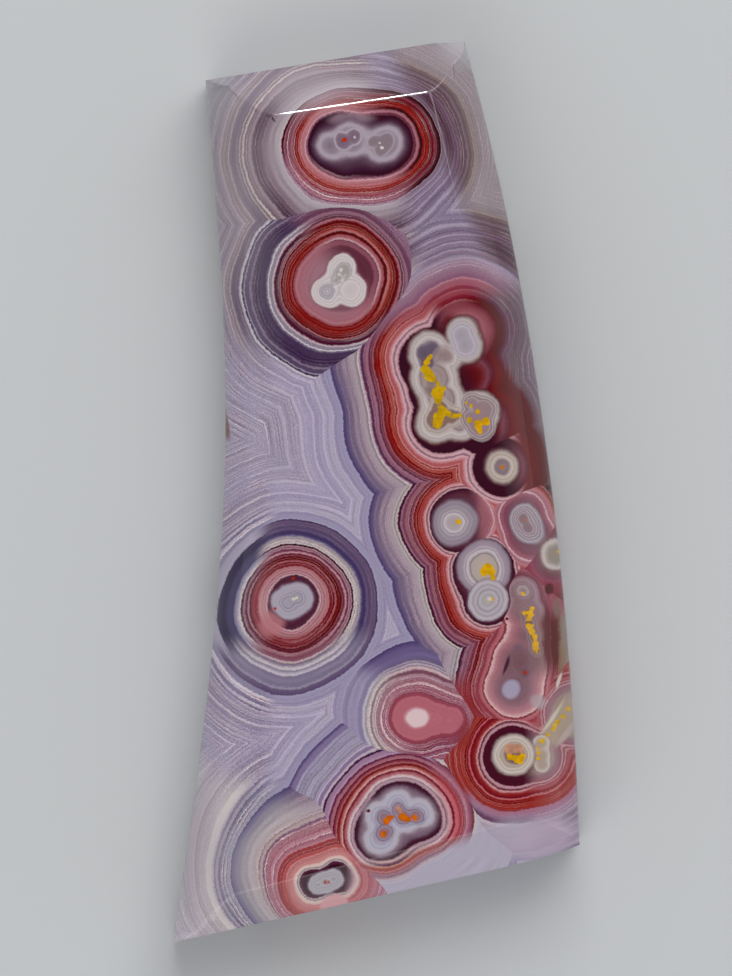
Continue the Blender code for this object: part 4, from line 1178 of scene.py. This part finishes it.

# %% [markdown]
# Yellow, orange and rust-red iron minerals sit in the centres as lumpy grains. Modelled grains would stand
# proud, but the real ones are inside the polished stone, so they are colour too: drops melted together,
# with a lumpy noise added to their distance that also makes their colour uneven. One near-black drop is no
# mineral but painted shade in the pinhole.

# %% Mineral grains and the pinhole's painted shade
GRAINS_AND_PINHOLE_SHADE = {  # colour: drops of place and radius in mm
    "ochre": [
        (2.43, 6.1, 0.13), (2.2, 5.6, 0.2), (2.39, 5.33, 0.25), (2.61, 5.1, 0.13), (2.79, 4.93, 0.12),
        (3.02, 4.7, 0.11), (2.75, 4.48, 0.28), (2.75, 4.16, 0.22), (2.88, 3.67, 0.22), (2.75, 3.35, 0.25),
        (2.7, 3.04, 0.22), (3.2, 3.49, 0.13), (3.47, 3.4, 0.12), (3.78, 3.44, 0.1), (4.1, 4.07, 0.07),
        (4.32, 3.94, 0.09), (4.23, 3.22, 0.15), (8.64, -9.74, 0.1), (8.37, -10.06, 0.12), (8.1, -10.33, 0.13),
        (7.88, -10.6, 0.12), (7.65, -10.87, 0.11), (7.43, -11.14, 0.11),
    ],
    "peach": [(0.96, -14.32, 0.13), (1.1, -14.45, 0.1), (5.94, -11.5, 0.24), (6.3, -11.45, 0.24)],
    "gold": [
        (2.3, 5.92, 0.16), (2.79, 4.4, 0.14), (2.74, 3.1, 0.14), (4.64, 3.62, 0.12), (4.59, 3.08, 0.22),
        (5.0, 3.22, 0.18), (4.68, 2.77, 0.12), (3.72, -1.31, 0.1), (4.86, -3.53, 0.17), (5.04, -3.35, 0.19),
        (5.22, -3.58, 0.15), (5.29, -3.78, 0.1), (5.2, -4.72, 0.06), (6.64, -4.42, 0.08), (8.12, -2.52, 0.1),
        (6.63, -5.36, 0.1), (6.97, -5.14, 0.1), (6.92, -5.4, 0.12), (6.84, -5.68, 0.13), (6.88, -5.98, 0.14),
        (6.99, -6.26, 0.14), (7.12, -6.52, 0.14), (7.19, -6.8, 0.15), (7.22, -7.08, 0.14),
        (5.94, -11.86, 0.14), (6.21, -11.9, 0.18), (6.48, -11.81, 0.15), (6.44, -12.04, 0.11),
        (7.29, -11.9, 0.09), (7.29, -11.65, 0.09), (7.26, -11.42, 0.08),
    ],
    "orange": [
        (0.38, -15.35, 0.15), (0.38, -14.87, 0.12), (0.54, -14.71, 0.12), (0.7, -14.67, 0.08),
        (1.15, -14.64, 0.17), (1.38, -14.77, 0.17), (1.73, -14.67, 0.13), (6.78, -1.25, 0.06),
    ],
    "rust": [
        (-1.33, 15.82, 0.08), (-1.5, 15.72, 0.03), (6.66, -8.08, 0.08), (-2.36, -17.53, 0.07),
        (-2.18, -17.57, 0.05), (-3.73, -3.89, 0.06), (-4.59, -5.33, 0.05),
    ],
    "deep_red": [(-0.28, -14.36, 0.07), (5.98, -5.65, 0.06)],
    "cream": [
        (-1.59, 10.04, 0.08), (-1.66, 9.8, 0.05), (-1.8, 9.66, 0.05), (-1.83, 9.48, 0.05),
        (-1.74, 9.28, 0.05), (-1.52, 9.75, 0.05), (-1.48, 9.55, 0.05), (-1.34, 9.82, 0.05),
        (-0.86, 15.97, 0.03), (0.18, 15.64, 0.03), (0.3, 15.41, 0.03), (5.08, -4.7, 0.09),
    ],
    # Painted shade: the near-black in and round the pinhole, where the hollow lies in shadow.
    "#1A1014": [(7.74, 0.29, 0.09)],  # the dark round the pinhole
}
LUMPS = ((0.3, 0.07), (0.12, 0.04))  # wavelength and full width, mm
MELT = 0.22  # how far neighbouring drops melt together, mm
GRAIN_EDGE = (0.03, -0.02)  # the colour fades in between these distances, mm
BRIGHTEST = 1.2
DARKEST = 0.75

lump = 0.0
for wavelength, width in LUMPS:
    lump = add_waviness(in_mm, wavelength, width, lump)
tone = add_node("ShaderNodeMapRange", OPEN, {0: lump, 1: -0.05, 2: 0.05, 3: BRIGHTEST, 4: DARKEST})
for drop_colour, drops in GRAINS_AND_PINHOLE_SHADE.items():
    distance = distance_to(drops, MELT)
    distance = add_node("ShaderNodeMath", ADD, {0: distance, 1: lump})
    fading = {0: distance, 1: GRAIN_EDGE[0], 2: GRAIN_EDGE[1], 3: 0.0, 4: 1.0}
    grains_and_pinhole_shade = add_node("ShaderNodeMapRange", OPEN, fading)
    shade = add_node("ShaderNodeHueSaturation", {}, {2: tone, 4: linear(drop_colour)})
    colour = add_node("ShaderNodeMix", COLOURS_MIX, {0: grains_and_pinhole_shade, 6: colour, 7: shade}, out=2)
colour = lay_stains_and_sheen(colour, STAINS_AND_GLINT_OVER)
print("nodes with grains:", len(tree.nodes))

# %% [markdown]
# Polished chalcedony has a glassy skin: refractive index 1.54, and a roughness close to none. The back is
# only lapped, so it is duller. The colours above were read through the haze of the polish's reflections,
# which the render adds again, so it is taken off them here: a little deeper, darker and less grey.

# %% Surface
DEEPER = 1.07
DARKER = 0.92
HAZE = 0.014  # linear brightness taken off red, green and blue alike
ROUGH_BACK = 0.38
ROUGH_FACE = 0.07
LAPPED_TO = (0.05, 0.3)  # between these heights the lapped back turns to polish, mm

colour = add_node("ShaderNodeHueSaturation", {}, {1: DEEPER, 2: DARKER, 4: colour})
colour = add_node("ShaderNodeBrightContrast", {}, {0: colour, 1: -HAZE})
tree.links.new(colour, surface.inputs["Base Color"])
polish = {0: z_mm, 1: LAPPED_TO[0], 2: LAPPED_TO[1], 3: ROUGH_BACK, 4: ROUGH_FACE}
roughness = add_node("ShaderNodeMapRange", SMOOTH, polish)
tree.links.new(roughness, surface.inputs["Roughness"])
surface.inputs["IOR"].default_value = 1.54
stone.data.materials[0] = agate
agate.diffuse_color = linear("lavender")
print("nodes in all:", len(tree.nodes))

# %% [markdown]
# The stone lies on a plain pale floor of matt paper, seen from straight above as on a copy stand.

# %% Floor
FLOOR_WIDTH = 1.2
FLOOR_COLOUR = "#BDBFC0"
PAPER_ROUGHNESS = 0.9

bpy.ops.object.select_all(action="DESELECT")
bpy.ops.mesh.primitive_plane_add(size=FLOOR_WIDTH, location=(0, 0, 0))
floor = bpy.context.object
floor.name = "floor"
paper = bpy.data.materials.new("matt_paper")
paper.use_nodes = True
paper_surface = paper.node_tree.nodes["Principled BSDF"]
paper_surface.inputs["Base Color"].default_value = linear(FLOOR_COLOUR)
paper_surface.inputs["Roughness"].default_value = PAPER_ROUGHNESS
floor.data.materials.append(paper)
print("floor laid")

# %% [markdown]
# A polished face seen from above mirrors whatever hangs over it, so the room is darker overhead than at
# the horizon. A broad softbox gives the shape, a second one fills the shadows, and a small bright one that
# only makes reflections draws the line along the top ridge.

# %% Light
ROOM_COLOUR = "#F4F6FA"
LOW_SKY = 0.15  # height of a direction's tip, 1 is straight up
HIGH_SKY = 0.95
HORIZON_STRENGTH = 0.95
OVERHEAD_STRENGTH = 0.12

world = bpy.data.worlds.new("studio")
bpy.context.scene.world = world
world.use_nodes = True
air = world.node_tree
background = air.nodes["Background"]
direction = add_node("ShaderNodeTexCoord", {}, {}, home=air)
height = add_node("ShaderNodeSeparateXYZ", {}, {0: direction}, out=2, home=air)
dimming = {0: height, 1: LOW_SKY, 2: HIGH_SKY, 3: HORIZON_STRENGTH, 4: OVERHEAD_STRENGTH}
brightness = add_node("ShaderNodeMapRange", {}, dimming, home=air)
air.links.new(brightness, background.inputs["Strength"])
background.inputs["Color"].default_value = linear(ROOM_COLOUR)


def add_softbox(name, azimuth, elevation, distance, size, power, gloss_only=False):
    """Adds an area light that looks at the stone from an azimuth (0 is the narrow end) and elevation."""
    turn = math.radians(azimuth)
    rise = math.radians(elevation)
    towards = Vector((math.sin(turn) * math.cos(rise), math.cos(turn) * math.cos(rise), math.sin(rise)))
    bpy.ops.object.light_add(type="AREA", location=towards * distance)
    light = bpy.context.object
    light.name = name
    light.rotation_euler = (-towards).to_track_quat("-Z", "Y").to_euler()
    light.data.size = size
    light.data.energy = power
    light.visible_diffuse = not gloss_only


add_softbox("key", azimuth=20, elevation=50, distance=0.6, size=0.5, power=2.4)
add_softbox("fill", azimuth=200, elevation=45, distance=0.6, size=0.6, power=1.4)
add_softbox("ridge_light", azimuth=-8.6, elevation=42, distance=0.6, size=0.1, power=5.0, gloss_only=True)

# %% [markdown]
# The camera looks straight down, as in a picture from a copy stand. A long lens from far away keeps the
# sides of the stone almost hidden. The Standard view shows the colours as they were mixed.

# %% Camera
VIEW_CENTRE = Vector((-0.45, 0.20, 0.0)) * MM
VIEW_HEIGHT = 404.5 * MM
LENS = 327.9  # mm
SENSOR_WIDTH = 36.0  # mm
NEAREST_SEEN = 10.0 * MM

bpy.ops.object.camera_add(location=VIEW_CENTRE + Vector((0, 0, VIEW_HEIGHT)), rotation=(0, 0, 0))
camera = bpy.context.object
camera.data.lens = LENS
camera.data.sensor_width = SENSOR_WIDTH
camera.data.clip_start = NEAREST_SEEN
bpy.context.scene.camera = camera
bpy.context.scene.view_settings.view_transform = "Standard"
print("camera height, mm:", VIEW_HEIGHT / MM)
